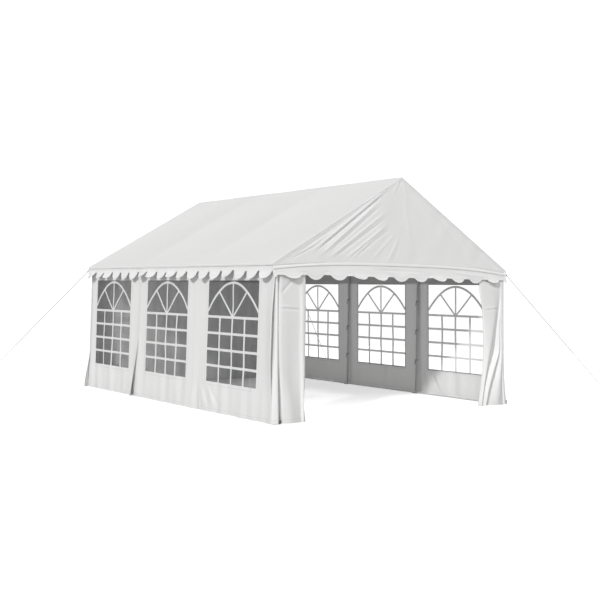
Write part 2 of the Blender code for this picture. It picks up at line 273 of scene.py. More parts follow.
# Creases at the foot of the wall panel in the front bay, as (along, height) places
FRONT_BAY_FOLDS = [
    Fold((-1.06, 0.42), (-1.22, 0.06), 0.030, 0.012),
    Fold((-1.16, 0.40), (-1.36, 0.05), 0.026, -0.010),
    Fold((-1.28, 0.42), (-1.52, 0.08), 0.032, 0.012),
    Fold((-1.40, 0.36), (-1.66, 0.05), 0.028, -0.008),
]
# Pegs that hold the foot of the curtains down, as (across, along) places
CURTAIN_PEGS = ((-2.268, -3.060), (2.482, -3.030))
# Heights of the straps on every post
STRAP_HEIGHTS = (0.62, 1.175, 1.71)
# Strength of the white backdrop that the camera sees
BACKDROP = 1.12
# Where each wall panel starts and ends, measured from the two posts of its bay
PANEL_ENDS = {1: (-0.018, 0.20), 2: (-0.03, 0.26), 3: (0.014, 0.022)}


class TentClothSettings(bpy.types.PropertyGroup):
    """Thickness, fullness and colour of the tent's cloth."""

    thickness: bpy.props.FloatProperty(
        name="Cloth thickness", description="Thickness of every cloth sheet", default=0.002, unit="LENGTH"
    )
    roof_sag: bpy.props.FloatProperty(
        name="Roof sag", description="How far the roof sinks between two rafters",
        default=0.034, unit="LENGTH",
    )
    ridge_rounding: bpy.props.FloatProperty(
        name="Ridge rounding", description="Width over which the roof bends at the ridge",
        default=0.05, unit="LENGTH",
    )
    roof_lip: bpy.props.FloatProperty(
        name="Roof lip", description="Depth of the hem that turns down round the roof",
        default=0.016, unit="LENGTH",
    )
    fold_depth: bpy.props.FloatProperty(
        name="Gable folds", description="Depth of the gable's drag folds, 1 as designed",
        default=1.0, min=0, max=3,
    )
    seam_flare: bpy.props.FloatProperty(
        name="Seam flare", description="How far the last panel's free edge stands out at the foot",
        default=0.09,
        unit="LENGTH",
    )
    side_lobes: bpy.props.IntProperty(
        name="Side lobes", description="Number of lobes of each side valance", default=18, min=1
    )
    end_pitch: bpy.props.FloatProperty(
        name="End lobe pitch", description="Width of a lobe of the front and back valance",
        default=0.415, min=0.05,
        unit="LENGTH",
    )
    roof_colour: bpy.props.FloatVectorProperty(
        name="Roof colour", description="Colour of the roof cloth",
        default=(0.86, 0.86, 0.855), subtype="COLOR",
    )
    # The gable colour is set a little lighter than the roof and wall cloth: painted light, making up for the
    # weaker light on the front gable
    gable_colour: bpy.props.FloatVectorProperty(
        name="Gable colour", description="Colour of gables and valances",
        default=(0.89, 0.89, 0.885), subtype="COLOR",
    )
    wall_colour: bpy.props.FloatVectorProperty(
        name="Wall colour", description="Colour of the walls and curtains",
        default=(0.87, 0.87, 0.865), subtype="COLOR",
    )


class TentWindowSettings(bpy.types.PropertyGroup):
    """Window film and the white bars printed on it."""

    film_thickness: bpy.props.FloatProperty(
        name="Film thickness", description="Thickness of the clear film", default=0.001, unit="LENGTH"
    )
    film_overlap: bpy.props.FloatProperty(
        name="Film overlap", description="How far the film reaches behind the cloth",
        default=0.02, unit="LENGTH",
    )
    film_wave: bpy.props.FloatProperty(
        name="Film wave", description="Height of the waves in the film", default=0.004, unit="LENGTH"
    )
    bar_width: bpy.props.FloatProperty(
        name="Bar width", description="Width of a window bar", default=0.038, unit="LENGTH"
    )
    bar_thickness: bpy.props.FloatProperty(
        name="Bar thickness", description="Thickness of a window bar", default=0.004, unit="LENGTH"
    )
    transom_share: bpy.props.FloatProperty(
        name="Arch share", description="Share of the window's height that the arch takes",
        default=0.357, min=0.1, max=0.9,
    )
    columns: bpy.props.IntProperty(name="Columns", description="Panes side by side", default=4, min=1)
    rows: bpy.props.IntProperty(name="Rows", description="Panes one over the other", default=4, min=1)
    # Painted shade: the film looks darker from outside than it is, standing in for the dim inside seen
    # through it
    outside_painted_shade: bpy.props.FloatProperty(
        name="Outside painted shade", description="How dark the film looks from outside", default=0.57, min=0, max=1
    )
    inside_tint: bpy.props.FloatProperty(
        name="Inside tint", description="How dark the film looks from inside", default=0.04, min=0, max=1
    )


class TentRopeSettings(bpy.types.PropertyGroup):
    """The guy ropes."""

    rope_radius: bpy.props.FloatProperty(
        name="Rope radius", description="Half the rope's thickness", default=0.004, unit="LENGTH"
    )
    rope_lay: bpy.props.FloatProperty(
        name="Rope lay", description="Length of one full twist of the strands", default=0.045, unit="LENGTH"
    )
    strands: bpy.props.IntProperty(
        name="Strands", description="Strands that make the rope", default=3, min=2
    )


class TentStageSettings(bpy.types.PropertyGroup):
    """Floor, light and camera."""

    camera_place: bpy.props.FloatVectorProperty(
        name="Camera", description="Place of the camera", default=(-10.079, -13.921, 1.8835), subtype="XYZ"
    )
    camera_yaw: bpy.props.FloatProperty(
        name="Yaw", description="Turn from +Y towards +X", default=0.6424, subtype="ANGLE"
    )
    camera_pitch: bpy.props.FloatProperty(
        name="Pitch", description="Look up", default=-0.0102, subtype="ANGLE"
    )
    camera_roll: bpy.props.FloatProperty(
        name="Roll", description="Camera's own roll", default=0.0140, subtype="ANGLE"
    )
    focal_pixels: bpy.props.FloatProperty(
        name="Focal length", description="Focal length in the photo's pixels", default=956.1, min=1
    )
    light_direction: bpy.props.FloatVectorProperty(
        name="Light", description="Direction in which the key light travels",
        default=(0.775, 0.4355, -0.457), subtype="XYZ",
    )
    key_strength: bpy.props.FloatProperty(
        name="Key", description="Strength of the key light", default=1.80, min=0
    )
    key_softness: bpy.props.FloatProperty(
        name="Key softness", description="Angle that the key light fills",
        default=math.radians(4), subtype="ANGLE",
    )
    sky_strength: bpy.props.FloatProperty(
        name="Sky", description="Light from all round", default=0.46, min=0
    )
    fill_strength: bpy.props.FloatProperty(
        name="Front fill", description="Strength of the soft light on the front", default=0.50, min=0
    )
    glow_power: bpy.props.FloatProperty(
        name="Cloth glow", description="Power of the light that comes through the sunlit wall",
        default=28.0, min=0,
    )
    floor_radius: bpy.props.FloatProperty(
        name="Floor", description="Radius of the floor", default=16.0, unit="LENGTH"
    )


def ease(part):
    """0 below 0, 1 above 1, and a smooth rise between them."""
    part = np.clip(part, 0.0, 1.0)
    return part * part * (3 - 2 * part)


def fold_heights(along, up, folds, fade=0.22):
    """How far cloth stands out at each place for a list of folds, which die out towards their ends."""
    total = np.zeros_like(along)
    for fold in folds:
        run, rise = fold.end[0] - fold.start[0], fold.end[1] - fold.start[1]
        length = math.hypot(run, rise)
        part = ((along - fold.start[0]) * run + (up - fold.start[1]) * rise) / length**2
        across = ((along - fold.start[0]) * rise - (up - fold.start[1]) * run) / length
        ridge = np.exp(-((across / fold.half_width) ** 2))
        total += fold.height * ease(part / fade) * ease((1 - part) / fade) * ridge
    return total


def crumple(along, up, seed, size, waves=7):
    """Soft uneven waves between about -1 and 1, about size metres long, the same for the same seed."""
    draw = random.Random(seed)
    total = np.zeros_like(along)
    for _ in range(waves):
        turn = draw.uniform(0, math.tau)
        length = size * draw.uniform(0.6, 1.7)
        start = draw.uniform(0, math.tau)
        total += np.sin(math.tau * (along * math.cos(turn) + up * math.sin(turn)) / length + start)
    return total / math.sqrt(waves)


def steps(start, end, size):
    """Evenly spaced values from start to end, about size apart."""
    return np.linspace(start, end, max(2, round(abs(end - start) / size) + 1))


def joined_steps(stops, size):
    """Evenly spaced values that hit every stop."""
    runs = [steps(a, b, size)[:-1] for a, b in zip(stops, stops[1:])]
    return np.concatenate(runs + [[stops[-1]]])


def smooth_line(points, count):
    """count points on a smooth curve through an array of points, whose first axis runs along the line."""
    points = np.asarray(points, float)
    padded = np.concatenate([2 * points[:1] - points[1:2], points, 2 * points[-1:] - points[-2:-1]])
    place = np.linspace(0, len(points) - 1, count)
    first = np.minimum(place.astype(int), len(points) - 2)
    t = (place - first).reshape((-1,) + (1,) * (points.ndim - 1))
    a, b, c, d = (padded[first + i] for i in range(4))
    return 0.5 * (2 * b + (c - a) * t + (2 * a - 5 * b + 4 * c - d) * t**2 + (3 * b - a - 3 * c + d) * t**3)


def from_border(across, up, left, right, low, high):
    """Distance of each place from the nearest side of a rectangle, positive inside it."""
    return np.minimum(np.minimum(across - left, right - across), np.minimum(up - low, high - up))


def only(obj):
    """Makes obj the one selected and active object."""
    bpy.ops.object.select_all(action="DESELECT")
    obj.select_set(True)
    bpy.context.view_layer.objects.active = obj
    return obj


def apply_modifier(obj, kind, **settings):
    """Adds a modifier with these settings and applies it."""
    only(obj)
    bpy.ops.object.modifier_add(type=kind)
    modifier = obj.modifiers[-1]
    for name, value in settings.items():
        setattr(modifier, name, value)
    bpy.ops.object.modifier_apply(modifier=modifier.name)
    return obj


def settle(obj):
    """Puts an object's place, turn and scale into its mesh."""
    only(obj)
    bpy.ops.object.transform_apply(location=True, rotation=True, scale=True)
    return obj


def join(name, parts):
    """Joins the parts into one object of that name."""
    bpy.ops.object.select_all(action="DESELECT")
    for part in parts:
        part.select_set(True)
    bpy.context.view_layer.objects.active = parts[0]
    if len(parts) > 1:
        bpy.ops.object.join()
    parts[0].name = name
    parts[0].data.name = name
    return parts[0]


def copied(obj, name, matrix):
    """A copy of obj with its own mesh, moved by matrix."""
    made = obj.copy()
    made.data = obj.data.copy()
    made.name = name
    made.data.name = name
    bpy.context.scene.collection.objects.link(made)
    made.data.transform(matrix)
    if matrix.determinant() < 0:
        made.data.flip_normals()
    return made


def linked_object(name, data):
    """A new object on this data, in the scene."""
    made = bpy.data.objects.new(name, data)
    bpy.context.scene.collection.objects.link(made)
    return made


def finish_with(obj, *finishes):
    """Gives obj the named finishes and no others."""
    obj.data.materials.clear()
    for finish in finishes:
        obj.data.materials.append(named_finish(finish))
    return obj


def smoothed(obj, degrees=40):
    """Shades obj smooth but for edges sharper than this angle."""
    only(obj)
    bpy.ops.object.shade_smooth_by_angle(angle=math.radians(degrees))
    return obj


def add_sheet(name, shape, flat, hem, finishes, thickness, outward, kept=None):
    """A sheet of cloth or film from 2-D arrays.

    shape is its places x, y, z; flat is where they lie in the cut, in metres; hem is how far each is from
    the nearest hem. outward is the way its outer face looks, and kept says which of its faces exist.
    """
    x, y, z = (np.asarray(axis, float) for axis in shape)
    tall, wide = x.shape
    index = np.arange(tall * wide).reshape(tall, wide)
    quads = np.stack([index[:-1, :-1], index[:-1, 1:], index[1:, 1:], index[1:, :-1]], axis=-1)
    quads = quads[kept] if kept is not None else quads.reshape(-1, 4)
    mesh = bpy.data.meshes.new(name)
    mesh.from_pydata(np.stack([x.ravel(), y.ravel(), z.ravel()], axis=-1).tolist(), [], quads.tolist())
    corners = np.zeros(len(mesh.loops), int)
    mesh.loops.foreach_get("vertex_index", corners)
    laid = np.stack([flat[0].ravel()[corners], flat[1].ravel()[corners]], axis=-1)
    mesh.uv_layers.new(name="cut").data.foreach_set("uv", laid.ravel())
    mesh.attributes.new("hem", "FLOAT", "POINT").data.foreach_set("value", hem.ravel())
    facing = sum((face.normal * face.area for face in mesh.polygons), Vector())
    if facing.dot(Vector(outward)) < 0:
        mesh.flip_normals()
    made = linked_object(name, mesh)
    finish_with(made, *finishes)
    only(made)
    bpy.ops.object.mode_set(mode="EDIT")
    bpy.ops.mesh.select_all(action="SELECT")
    bpy.ops.mesh.delete_loose()
    bpy.ops.object.mode_set(mode="OBJECT")
    apply_modifier(made, "SOLIDIFY", thickness=thickness, offset=0.0, material_offset=len(finishes) - 1)
    return smoothed(made, 60)


def hung_cloth(name, plans, folds, outward, tall, wide):
    """Wall cloth that hangs along plan lines given at some heights, smooth between them, and its flat size.

    tall and wide say how many cells it has down and across.
    """
    heights = np.array([height for height, _ in plans])
    lines = np.array([line for _, line in plans])
    fine = 6 * len(plans)
    spread = smooth_line(lines, fine)
    levels = smooth_line(heights[:, None], fine)[:, 0]
    rows = steps(heights[0], heights[-1], (heights[0] - heights[-1]) / tall)
    order = np.argsort(levels)
    knots = np.empty((len(rows),) + lines.shape[1:])
    for i in range(lines.shape[1]):
        for axis in range(2):
            knots[:, i, axis] = np.interp(rows, levels[order], spread[order, i, axis])
    grid = smooth_line(np.swapaxes(knots, 0, 1), wide)
    x, y = grid[..., 0], grid[..., 1]
    z = np.tile(rows, (wide, 1))
    y = y - fold_heights(x, z, folds)
    run = np.hypot(np.diff(x, axis=0), np.diff(y, axis=0))
    along = np.concatenate([np.zeros((1, len(rows))), np.cumsum(run, axis=0)])
    width = along[-1].mean()
    along = np.tile(np.linspace(0, width, wide)[:, None], (1, len(rows)))
    hem = np.minimum(np.minimum(along, width - along), z - heights[-1])
    thickness = bpy.context.scene.tent_cloth.thickness
    made = add_sheet(name, (x, y, z), (along, z), hem, ["wall_canvas"], thickness, outward)
    return made, (width, float(heights[0] - heights[-1]))


class Finish:
    """A new material, with short ways to add nodes and to feed its shader.

    A source is another node's output or a plain value. An input's spaces are written as underscores.
    """

    def __init__(self, name):
        self.material = bpy.data.materials.new(name)
        self.material.use_nodes = True
        self.tree = self.material.node_tree
        self.shader = self.tree.nodes["Principled BSDF"]
        self.place = self.node("TexCoord").outputs["Object"]

    def feed(self, socket, source):
        """Gives an input its source."""
        if isinstance(source, bpy.types.NodeSocket):
            self.tree.links.new(source, socket)
        else:
            socket.default_value = source

    def node(self, kind, *sources, **parts):
        """A node with sources for its first inputs, and parts for its settings and named inputs."""
        made = self.tree.nodes.new(f"ShaderNode{kind}")
        for key, value in parts.items():
            if hasattr(made, key):
                setattr(made, key, value)
            else:
                self.feed(made.inputs[key.replace("_", " ")], value)
        for socket, source in zip(made.inputs, sources):
            self.feed(socket, source)
        return made

    def math(self, operation, *terms, **parts):
        """The result of one operation on the terms."""
        return self.node("Math", *terms, operation=operation, **parts).outputs[0]

    def noise(self, scale, detail, place=None, **parts):
        """Noise over the object's own coordinates, or over place."""
        made = self.node("TexNoise", Vector=place or self.place, Scale=scale, Detail=detail, **parts)
        return made.outputs["Fac"]

    def spread(self, source, start, end, low=0.0, high=1.0, **parts):
        """Runs from start to end while source runs from low to high, and stays there beyond."""
        parts.update(From_Min=low, From_Max=high, To_Min=start, To_Max=end)
        return self.node("MapRange", Value=source, **parts).outputs[0]

    def mix(self, share, first, second):
        """A colour between first and second."""
        return self.node("Mix", data_type="RGBA", Factor=share, A=first, B=second).outputs["Result"]

    def bump(self, height, strength, distance, **parts):
        """A normal that follows height, on top of the Normal that parts may give."""
        return self.node("Bump", Height=height, Strength=strength, Distance=distance, **parts).outputs[0]

    def shaded(self, **parts):
        """Feeds the shader's inputs and returns the material."""
        for key, source in parts.items():
            self.feed(self.shader.inputs[key.replace("_", " ")], source)
        return self.material


def opaque(colour, share=1.0):
    """A colour with its channels scaled by share, and full alpha."""
    return (*(channel * share for channel in colour), 1)


def cloth_finish(name, colour, roughness, crinkle, painted_shade_from=None):
    """Coated tent cloth: a woven tape grid, soft crinkles, a hem of double cloth and its weld lines.

    Its inner face is painted darker from a given height up: painted shade, standing in for the daylight
    that the cloth covering it outside keeps from coming through.
    """
    finish = Finish(name)
    place = finish.place
    cut = finish.node("TexCoord").outputs["UV"]
    hem = finish.node("Attribute", attribute_name="hem").outputs["Fac"]

    patches = finish.noise(1.3, 4.0, Roughness=0.55)
    grime = finish.noise(9.0, 6.0, Roughness=0.7)
    height = finish.node("SeparateXYZ", Vector=place).outputs["Z"]
    low = finish.spread(height, 1.0, 0.0, 0.0, SPLASH_HEIGHT)
    splash = finish.math("MULTIPLY", finish.math("MULTIPLY", low, grime), 0.34)
    dull = finish.math("ADD", splash, finish.math("MULTIPLY", patches, 0.16))
    soiled = opaque(colour, SOILED)
    seen = finish.mix(dull, opaque(colour), (*soiled[:2], soiled[2] * 0.99, 1))

    weld = finish.math("COMPARE", hem, WELD_PLACE, WELD_HALF_WIDTH)
    seen = finish.mix(finish.math("MULTIPLY", weld, 0.3), seen, opaque(colour, 0.6))
    # Painted shade: the inner face is darkened above the given height, where the valance outside keeps
    # daylight off
    if painted_shade_from:
        normal = finish.node("NewGeometry").outputs["True Normal"]
        facing = finish.node("VectorMath", normal, place, operation="DOT_PRODUCT").outputs["Value"]
        inner = finish.math("LESS_THAN", facing, 0.0)
        above = finish.spread(height, 0.0, 0.55, painted_shade_from - 0.025, painted_shade_from + 0.015)
        seen = finish.mix(finish.math("MULTIPLY", inner, above), seen, opaque(colour, 0.1))

    threads = []
    for direction in ("X", "Y"):
        tape = {"wave_type": "BANDS", "bands_direction": direction, "Scale": 75.0, "Distortion": 0.4}
        threads.append(finish.node("TexWave", Vector=cut, **tape).outputs["Fac"])
    weave = finish.bump(finish.math("MAXIMUM", *threads), 0.10, 0.0006)
    rough = finish.noise(5.5, 5.0, Roughness=0.5, Distortion=0.7)
    soft = finish.bump(rough, crinkle, 0.02, Normal=weave)
    band = finish.spread(hem, 1.0, 0.0, HEM_WIDTH - 0.002, HEM_WIDTH + 0.002)
    return finish.shaded(
        Base_Color=seen,
        Normal=finish.bump(band, 0.6, 0.0015, Normal=soft),
        Roughness=finish.spread(grime, roughness - 0.06, roughness + 0.10),
        Specular_IOR_Level=0.35,
    )


def film_finish(name, front, back):
    """Clear film with faint clouding and long soft waves. It is less clear from one side than from the
    other:
    painted shade, so that from outside the panes look as dim as the shaded inside behind them.
    """
    finish = Finish(name)
    drawn = finish.node("Mapping", Vector=finish.place, Scale=(1.6, 1.6, 0.7)).outputs[0]
    clouds = finish.noise(2.2, 2.0, place=drawn, Distortion=0.5)
    # Painted shade: the film is more opaque seen from its outer side than from its inner side
    side = finish.node("NewGeometry").outputs["Backfacing"]
    seen = finish.spread(side, front, back)
    cloudy = finish.spread(clouds, 0.88, 1.12, 0.3, 0.7)
    return finish.shaded(
        Alpha=finish.math("MULTIPLY", seen, cloudy, use_clamp=True),
        Base_Color=finish.mix(clouds, (0.026, 0.027, 0.028, 1), (0.078, 0.080, 0.082, 1)),
        Normal=finish.bump(finish.noise(3.2, 1.0), 0.25, 0.01),
        Roughness=finish.spread(clouds, 0.18, 0.28),
        IOR=1.53,
    )


def print_finish(name):
    """White print of the window bars, a little uneven in gloss."""
    finish = Finish(name)
    speckle = finish.noise(40.0, 4.0)
    return finish.shaded(
        Base_Color=finish.mix(speckle, (0.80, 0.80, 0.795, 1), (0.86, 0.86, 0.86, 1)),
        Roughness=finish.spread(speckle, 0.35, 0.5),
        Normal=finish.bump(speckle, 0.08, 0.0005),
    )


def metal_finish(name, dark, light, roughness, grain_size, metallic=1.0):
    """Zinc or bare metal: crystal patches, fine scratches along the bar and dull spots."""
    finish = Finish(name)
    crystals = finish.node("TexVoronoi", Vector=finish.place, Scale=grain_size).outputs["Color"]
    grey = finish.node("RGBToBW", Color=crystals).outputs[0]
    spots = finish.noise(14.0, 7.0, Roughness=0.65)
    mixed = finish.math("ADD", finish.math("MULTIPLY", grey, 0.4), finish.math("MULTIPLY", spots, 0.6))
    return finish.shaded(
        Base_Color=finish.mix(mixed, opaque(dark), opaque(light)),
        Roughness=finish.spread(spots, roughness - 0.12, roughness + 0.15),
        Normal=finish.bump(finish.noise(160.0, 3.0), 0.12, 0.0005),
        Metallic=metallic,
    )


def webbing_finish(name, colour, scale):
    """Woven straps and rope yarn."""
    finish = Finish(name)
    wave = {"bands_direction": "DIAGONAL", "Scale": scale, "Distortion": 1.5}
    yarn = finish.node("TexWave", Vector=finish.place, **wave).outputs["Fac"]
    fuzz = finish.noise(scale * 2.0, 4.0)
    return finish.shaded(
        Base_Color=finish.mix(finish.math("MULTIPLY", yarn, fuzz), opaque(colour, 0.7), opaque(colour)),
        Normal=finish.bump(yarn, 0.4, 0.0008),
        Roughness=0.85,
    )


def floor_finish(name):
    """A bright floor that throws little light back, with painted shade in the rear of the tent, darkest in
    the rear left corner.
    """
    finish = Finish(name)
    smooth = {"interpolation_type": "SMOOTHSTEP"}
    tone = finish.mix(finish.noise(3.0, 3.0), (0.78, 0.78, 0.78, 1), (0.80, 0.80, 0.80, 1))
    spot = finish.node("SeparateXYZ", Vector=finish.place).outputs
    # Painted shade on the floor inside the tent, fading out towards the open front and the sides
    across = finish.math("ABSOLUTE", spot["X"])
    wide = finish.spread(across, 0.0, 1.0, POST_X + 0.15, POST_X - 0.10)
    deep = finish.spread(spot["Y"], 0.0, 1.0, -2.3, -0.3, **smooth)
    held = finish.spread(spot["Y"], 0.0, 1.0, ROOF_END + 0.2, ROOF_END - 0.1, **smooth)
    painted_floor_shade = finish.math("MULTIPLY", finish.math("MULTIPLY", wide, deep), held)
    bright = finish.spread(painted_floor_shade, 0.68, 0.44)
    # Painted shade: the rear left corner is painted darkest
    leftward = finish.math("MULTIPLY", spot["X"], -0.80)
    cornerward = finish.math("ADD", finish.math("MULTIPLY", spot["Y"], 0.60), leftward)
    corner = finish.spread(cornerward, 0.0, 0.30, 0.1, 1.0, **smooth)
    painted_corner_shade = finish.math("MULTIPLY", painted_floor_shade, corner)
    finish.shaded(
        Base_Color=tone,
        Roughness=0.9,
        Specular_IOR_Level=0.0,
        Emission_Color=(1, 1, 1, 1),
        Emission_Strength=finish.math("SUBTRACT", bright, painted_corner_shade),
    )
    dim = finish.node("BsdfDiffuse", Color=(0.50, 0.50, 0.50, 1)).outputs[0]
    seen = finish.node("LightPath").outputs["Is Camera Ray"]
    mixed = finish.node("MixShader", seen, dim, finish.shader.outputs[0]).outputs[0]
    finish.feed(finish.tree.nodes["Material Output"].inputs["Surface"], mixed)
    return finish.material


def named_finish(name):
    """The material of that name, made when it is first asked for."""
    made = bpy.data.materials.get(name)
    if made:
        return made
    cloth = bpy.context.scene.tent_cloth
    windows = bpy.context.scene.tent_windows
    makers = {
        "roof_canvas": (cloth_finish, tuple(cloth.roof_colour), 0.50, 0.10),
        "gable_canvas": (cloth_finish, tuple(cloth.gable_colour), 0.50, 0.16),
        # The wall cloth's last value is the height from which its inner face gets painted shade
        "wall_canvas": (cloth_finish, tuple(cloth.wall_colour), 0.52, 0.16, VALANCE_FOOT),
        # The outer film's face carries painted shade: darker from outside than from inside
        "film_outer": (film_finish, windows.outside_painted_shade, windows.inside_tint),
        "film_inner": (film_finish, windows.inside_tint, windows.inside_tint),
        "window_print": (print_finish,),
        "zinc_tube": (metal_finish, (0.42, 0.43, 0.44), (0.66, 0.67, 0.68), 0.42, 55.0),
        # Lighter zinc: on the ground rails it is painted light for the floor's light falling on them; on the
        # rope rings it just keeps them faint
        "chalky_zinc": (metal_finish, (0.62, 0.63, 0.63), (0.82, 0.83, 0.83), 0.5, 55.0, 0.3),
        "peg_steel": (metal_finish, (0.07, 0.07, 0.075), (0.22, 0.21, 0.20), 0.5, 90.0),
        "strap_webbing": (webbing_finish, (0.42, 0.42, 0.43), 220.0),
        "rope_yarn": (webbing_finish, (0.27, 0.27, 0.265), 320.0),
        "studio_floor": (floor_finish,),
    }
    make, *details = makers[name]
    return make(name, *details)


def roof_under(across):
    """Height of the roof's lower face at this distance from the middle."""
    return GABLE_PEAK - ROOF_SLOPE * np.abs(across)


def wall_face(height):
    """Distance of the side walls' cloth from the middle at this height."""
    part = (WALL_TOP - height) / (WALL_TOP - WALL_FOOT)
    return WALL_TOP_X + HALF_PLATE + (WALL_FOOT_X - WALL_TOP_X - 2 * HALF_PLATE) * part


def turned_down(beyond, angle, radius):
    """Where a lip goes: how far out and down it is, beyond metres past an edge that slopes down by angle."""
    turn = np.minimum(beyond / radius, math.pi / 2 - angle)
    straight = beyond - turn * radius
    out = radius * (np.sin(angle + turn) - math.sin(angle))
    down = radius * (math.cos(angle) - np.cos(angle + turn)) + straight
    return out, down


class TENT_OT_canopy(bpy.types.Operator):
    """Stretch one sheet of roof cloth over ridge, rafters and eaves."""

    bl_idname = "tent.canopy"
    bl_label = "Roof canopy"

    def execute(self, context):
        cloth = context.scene.tent_cloth
        cell, lip_step = 0.034, 0.004
        lip_radius, end_lip_radius = 0.012, 0.004
        ripple_height, ripple_length = 0.0022, 0.55
        seam_lap = 0.006
        slope_lip, end_lip = cloth.roof_lip + 0.02, cloth.roof_lip + 0.012
        end = ROOF_END - 0.002
        lips, end_lips = (np.arange(lip_step, lip + lip_step / 2, lip_step) for lip in (slope_lip, end_lip))
        slopes = steps(-ROOF_EDGE, ROOF_EDGE, cell)
        across = np.concatenate([-ROOF_EDGE - lips[::-1], slopes, ROOF_EDGE + lips])
        bays = joined_steps([-end, *STATIONS[1:3], end], cell)
        length = np.concatenate([-end - end_lips[::-1], bays, end + end_lips])
        u, v = np.meshgrid(across, length)
        reach, run = np.minimum(np.abs(u), ROOF_EDGE), np.clip(v, -end, end)
        out, down = turned_down(np.maximum(np.abs(u) - ROOF_EDGE, 0), ROOF_ANGLE, lip_radius)
        end_out, end_down = turned_down(np.maximum(np.abs(v) - end, 0), 0.0, end_lip_radius)

        part = np.clip((run - STATIONS[0]) / (STATIONS[1] - STATIONS[0]), 0, len(BAYS)) % 1.0
        between_rails = np.sin(math.pi * np.clip(reach / POST_X, 0, 1)) ** 0.8
        sag = cloth.roof_sag * np.sin(math.pi * part) * between_rails
        uneven = crumple(reach * np.sign(u), run, 11, ripple_length)
        ripple = ripple_height * uneven * between_rails * np.sin(math.pi * part)
        rounding = cloth.ridge_rounding / 2
        ridge = ROOF_SLOPE * (np.sqrt(reach**2 + rounding**2) - reach)
        outer = roof_under(reach) + HALF_PLATE + cloth.thickness / 2
        z = outer - sag + ripple - ridge * 0.25 - down - end_down
        x = np.sign(u) * (reach + out)
        y = np.sign(v) * (np.abs(run) + end_out)
        flat = (u / math.cos(ROOF_ANGLE), v)
        edge = np.minimum(ROOF_EDGE + slope_lip - np.abs(u), end + end_lip - np.abs(v))
        seams = np.min([np.abs(run - station) for station in STATIONS[1:3]], axis=0) + seam_lap
        hem = np.minimum(edge, seams)
        made = add_sheet("roof_canopy", (x, y, z), flat, hem, ["roof_canvas"], cloth.thickness, (0, 0, 1))
        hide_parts("roof_left", "roof_right")
        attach(made, "root")
        rests = ["ridge_rail", "left_eave_rail", "right_eave_rail"]
        rests += [f"{side}_rafter_{i}" for side in SIDES for i in POSTS]
        return {"FINISHED"}


def end_hem(across):
    """Height of the gable's foot, which sinks towards both corners."""
    raised, sinks = 0.040, 0.100
    return GABLE_FOOT + raised - sinks * np.abs(across / ROOF_EDGE) ** 3


class TENT_OT_gables(bpy.types.Operator):
    """Close both ends of the roof with a triangle of cloth, with drag folds from the peak."""

    bl_idname = "tent.gables"
    bl_label = "Gables"

    def execute(self, context):
        cloth = context.scene.tent_cloth
        cell, rows = 0.02, 73
        crinkle_height, crinkle_length = 0.0016, 0.4
        hem_roll, hem_height, hem_spread = 0.002, 0.010, 0.009
        step_depth, step_top, step_width = 0.009, 0.05, 0.04
        fold_shares = {"front": 1.0, "back": 0.7}
        across = steps(-ROOF_EDGE, ROOF_EDGE, cell)
        part = np.linspace(0, 1, rows)[:, None]
        for name, end in ENDS.items():
            x = np.tile(across, (len(part), 1))
            top = roof_under(x) - 0.002
            foot = end_hem(x)
            z = foot + (top - foot) * part
            inside = ease((top - z) / 0.05) * ease((z - foot - 0.012) / 0.03)
            mirror = -end
            folds = fold_heights(x * mirror, z, GABLE_FOLDS) * inside
            folds += fold_heights(x * mirror, z, PEAK_FOLDS) * ease((top - z) / 0.015)
            folds += crinkle_height * crumple(x, z, 21 + end, crinkle_length) * inside
            rolled_hem = hem_roll * np.exp(-(((z - foot - hem_height) / hem_spread) ** 2))
            step_out = step_depth * ease((foot + step_top - z) / step_width)
            folds = folds * fold_shares[name] * cloth.fold_depth
            y = end * (GABLE_FACE - HALF_PLATE + folds + rolled_hem + step_out)
            hem = np.minimum((top - z) * math.cos(ROOF_ANGLE), z - foot)
            made = add_sheet(
                f"gable_cloth_{name}", (x, y, z), (x, z), hem, ["gable_canvas"], cloth.thickness, (0, end, 0)
            )
            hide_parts(f"gable_{name}")
            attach(made, "root")
        return {"FINISHED"}


def lobe_depth(part, fullness, share):
    """Depth of a lobe, 0 to 1, at this part of its pitch; share is how much of the pitch it fills."""
    offset = np.clip((part - 0.5) / (share / 2), -1, 1)
    return np.maximum(np.cos(offset * math.pi / 2), 0) ** fullness


def valance_shape(along, part, top, cusp, lobes, draw):
    """Height, outward reach and hem distance of a strip with lobes at its foot, each lifted by itself."""
    straightest, hinge_share = 0.02, 0.35
    place = (along - lobes.start) / lobes.pitch
    number = np.floor(place + 1e-9).astype(int)
    local = np.clip(place - number, 0, 1)
    length = lobes.depth * lobe_depth(local, lobes.fullness, lobes.share)
    numbers = range(number.min(), number.max() + 1)
    lift = np.array([draw.uniform(*lobes.curls) for _ in numbers])[number - number.min()]
    twist = np.array([draw.uniform(-0.5, 0.5) for _ in numbers])[number - number.min()]
    bent = lift * (1 + twist * (local - 0.5) * 2)
    band = top - cusp
    hinge = hinge_share * band
    total = band + length
    down = part * total
    free = np.maximum(down - (band - hinge), 0)
    angle = np.where(np.abs(bent) < straightest, straightest, bent)
    swing = angle * free / (lobes.depth + hinge)
    radius = (lobes.depth + hinge) / angle
    out = radius * (1 - np.cos(swing))
    height = top - np.minimum(down, band - hinge) - radius * np.sin(swing)
    hem = (1 - part) * total
    return height, out, hem


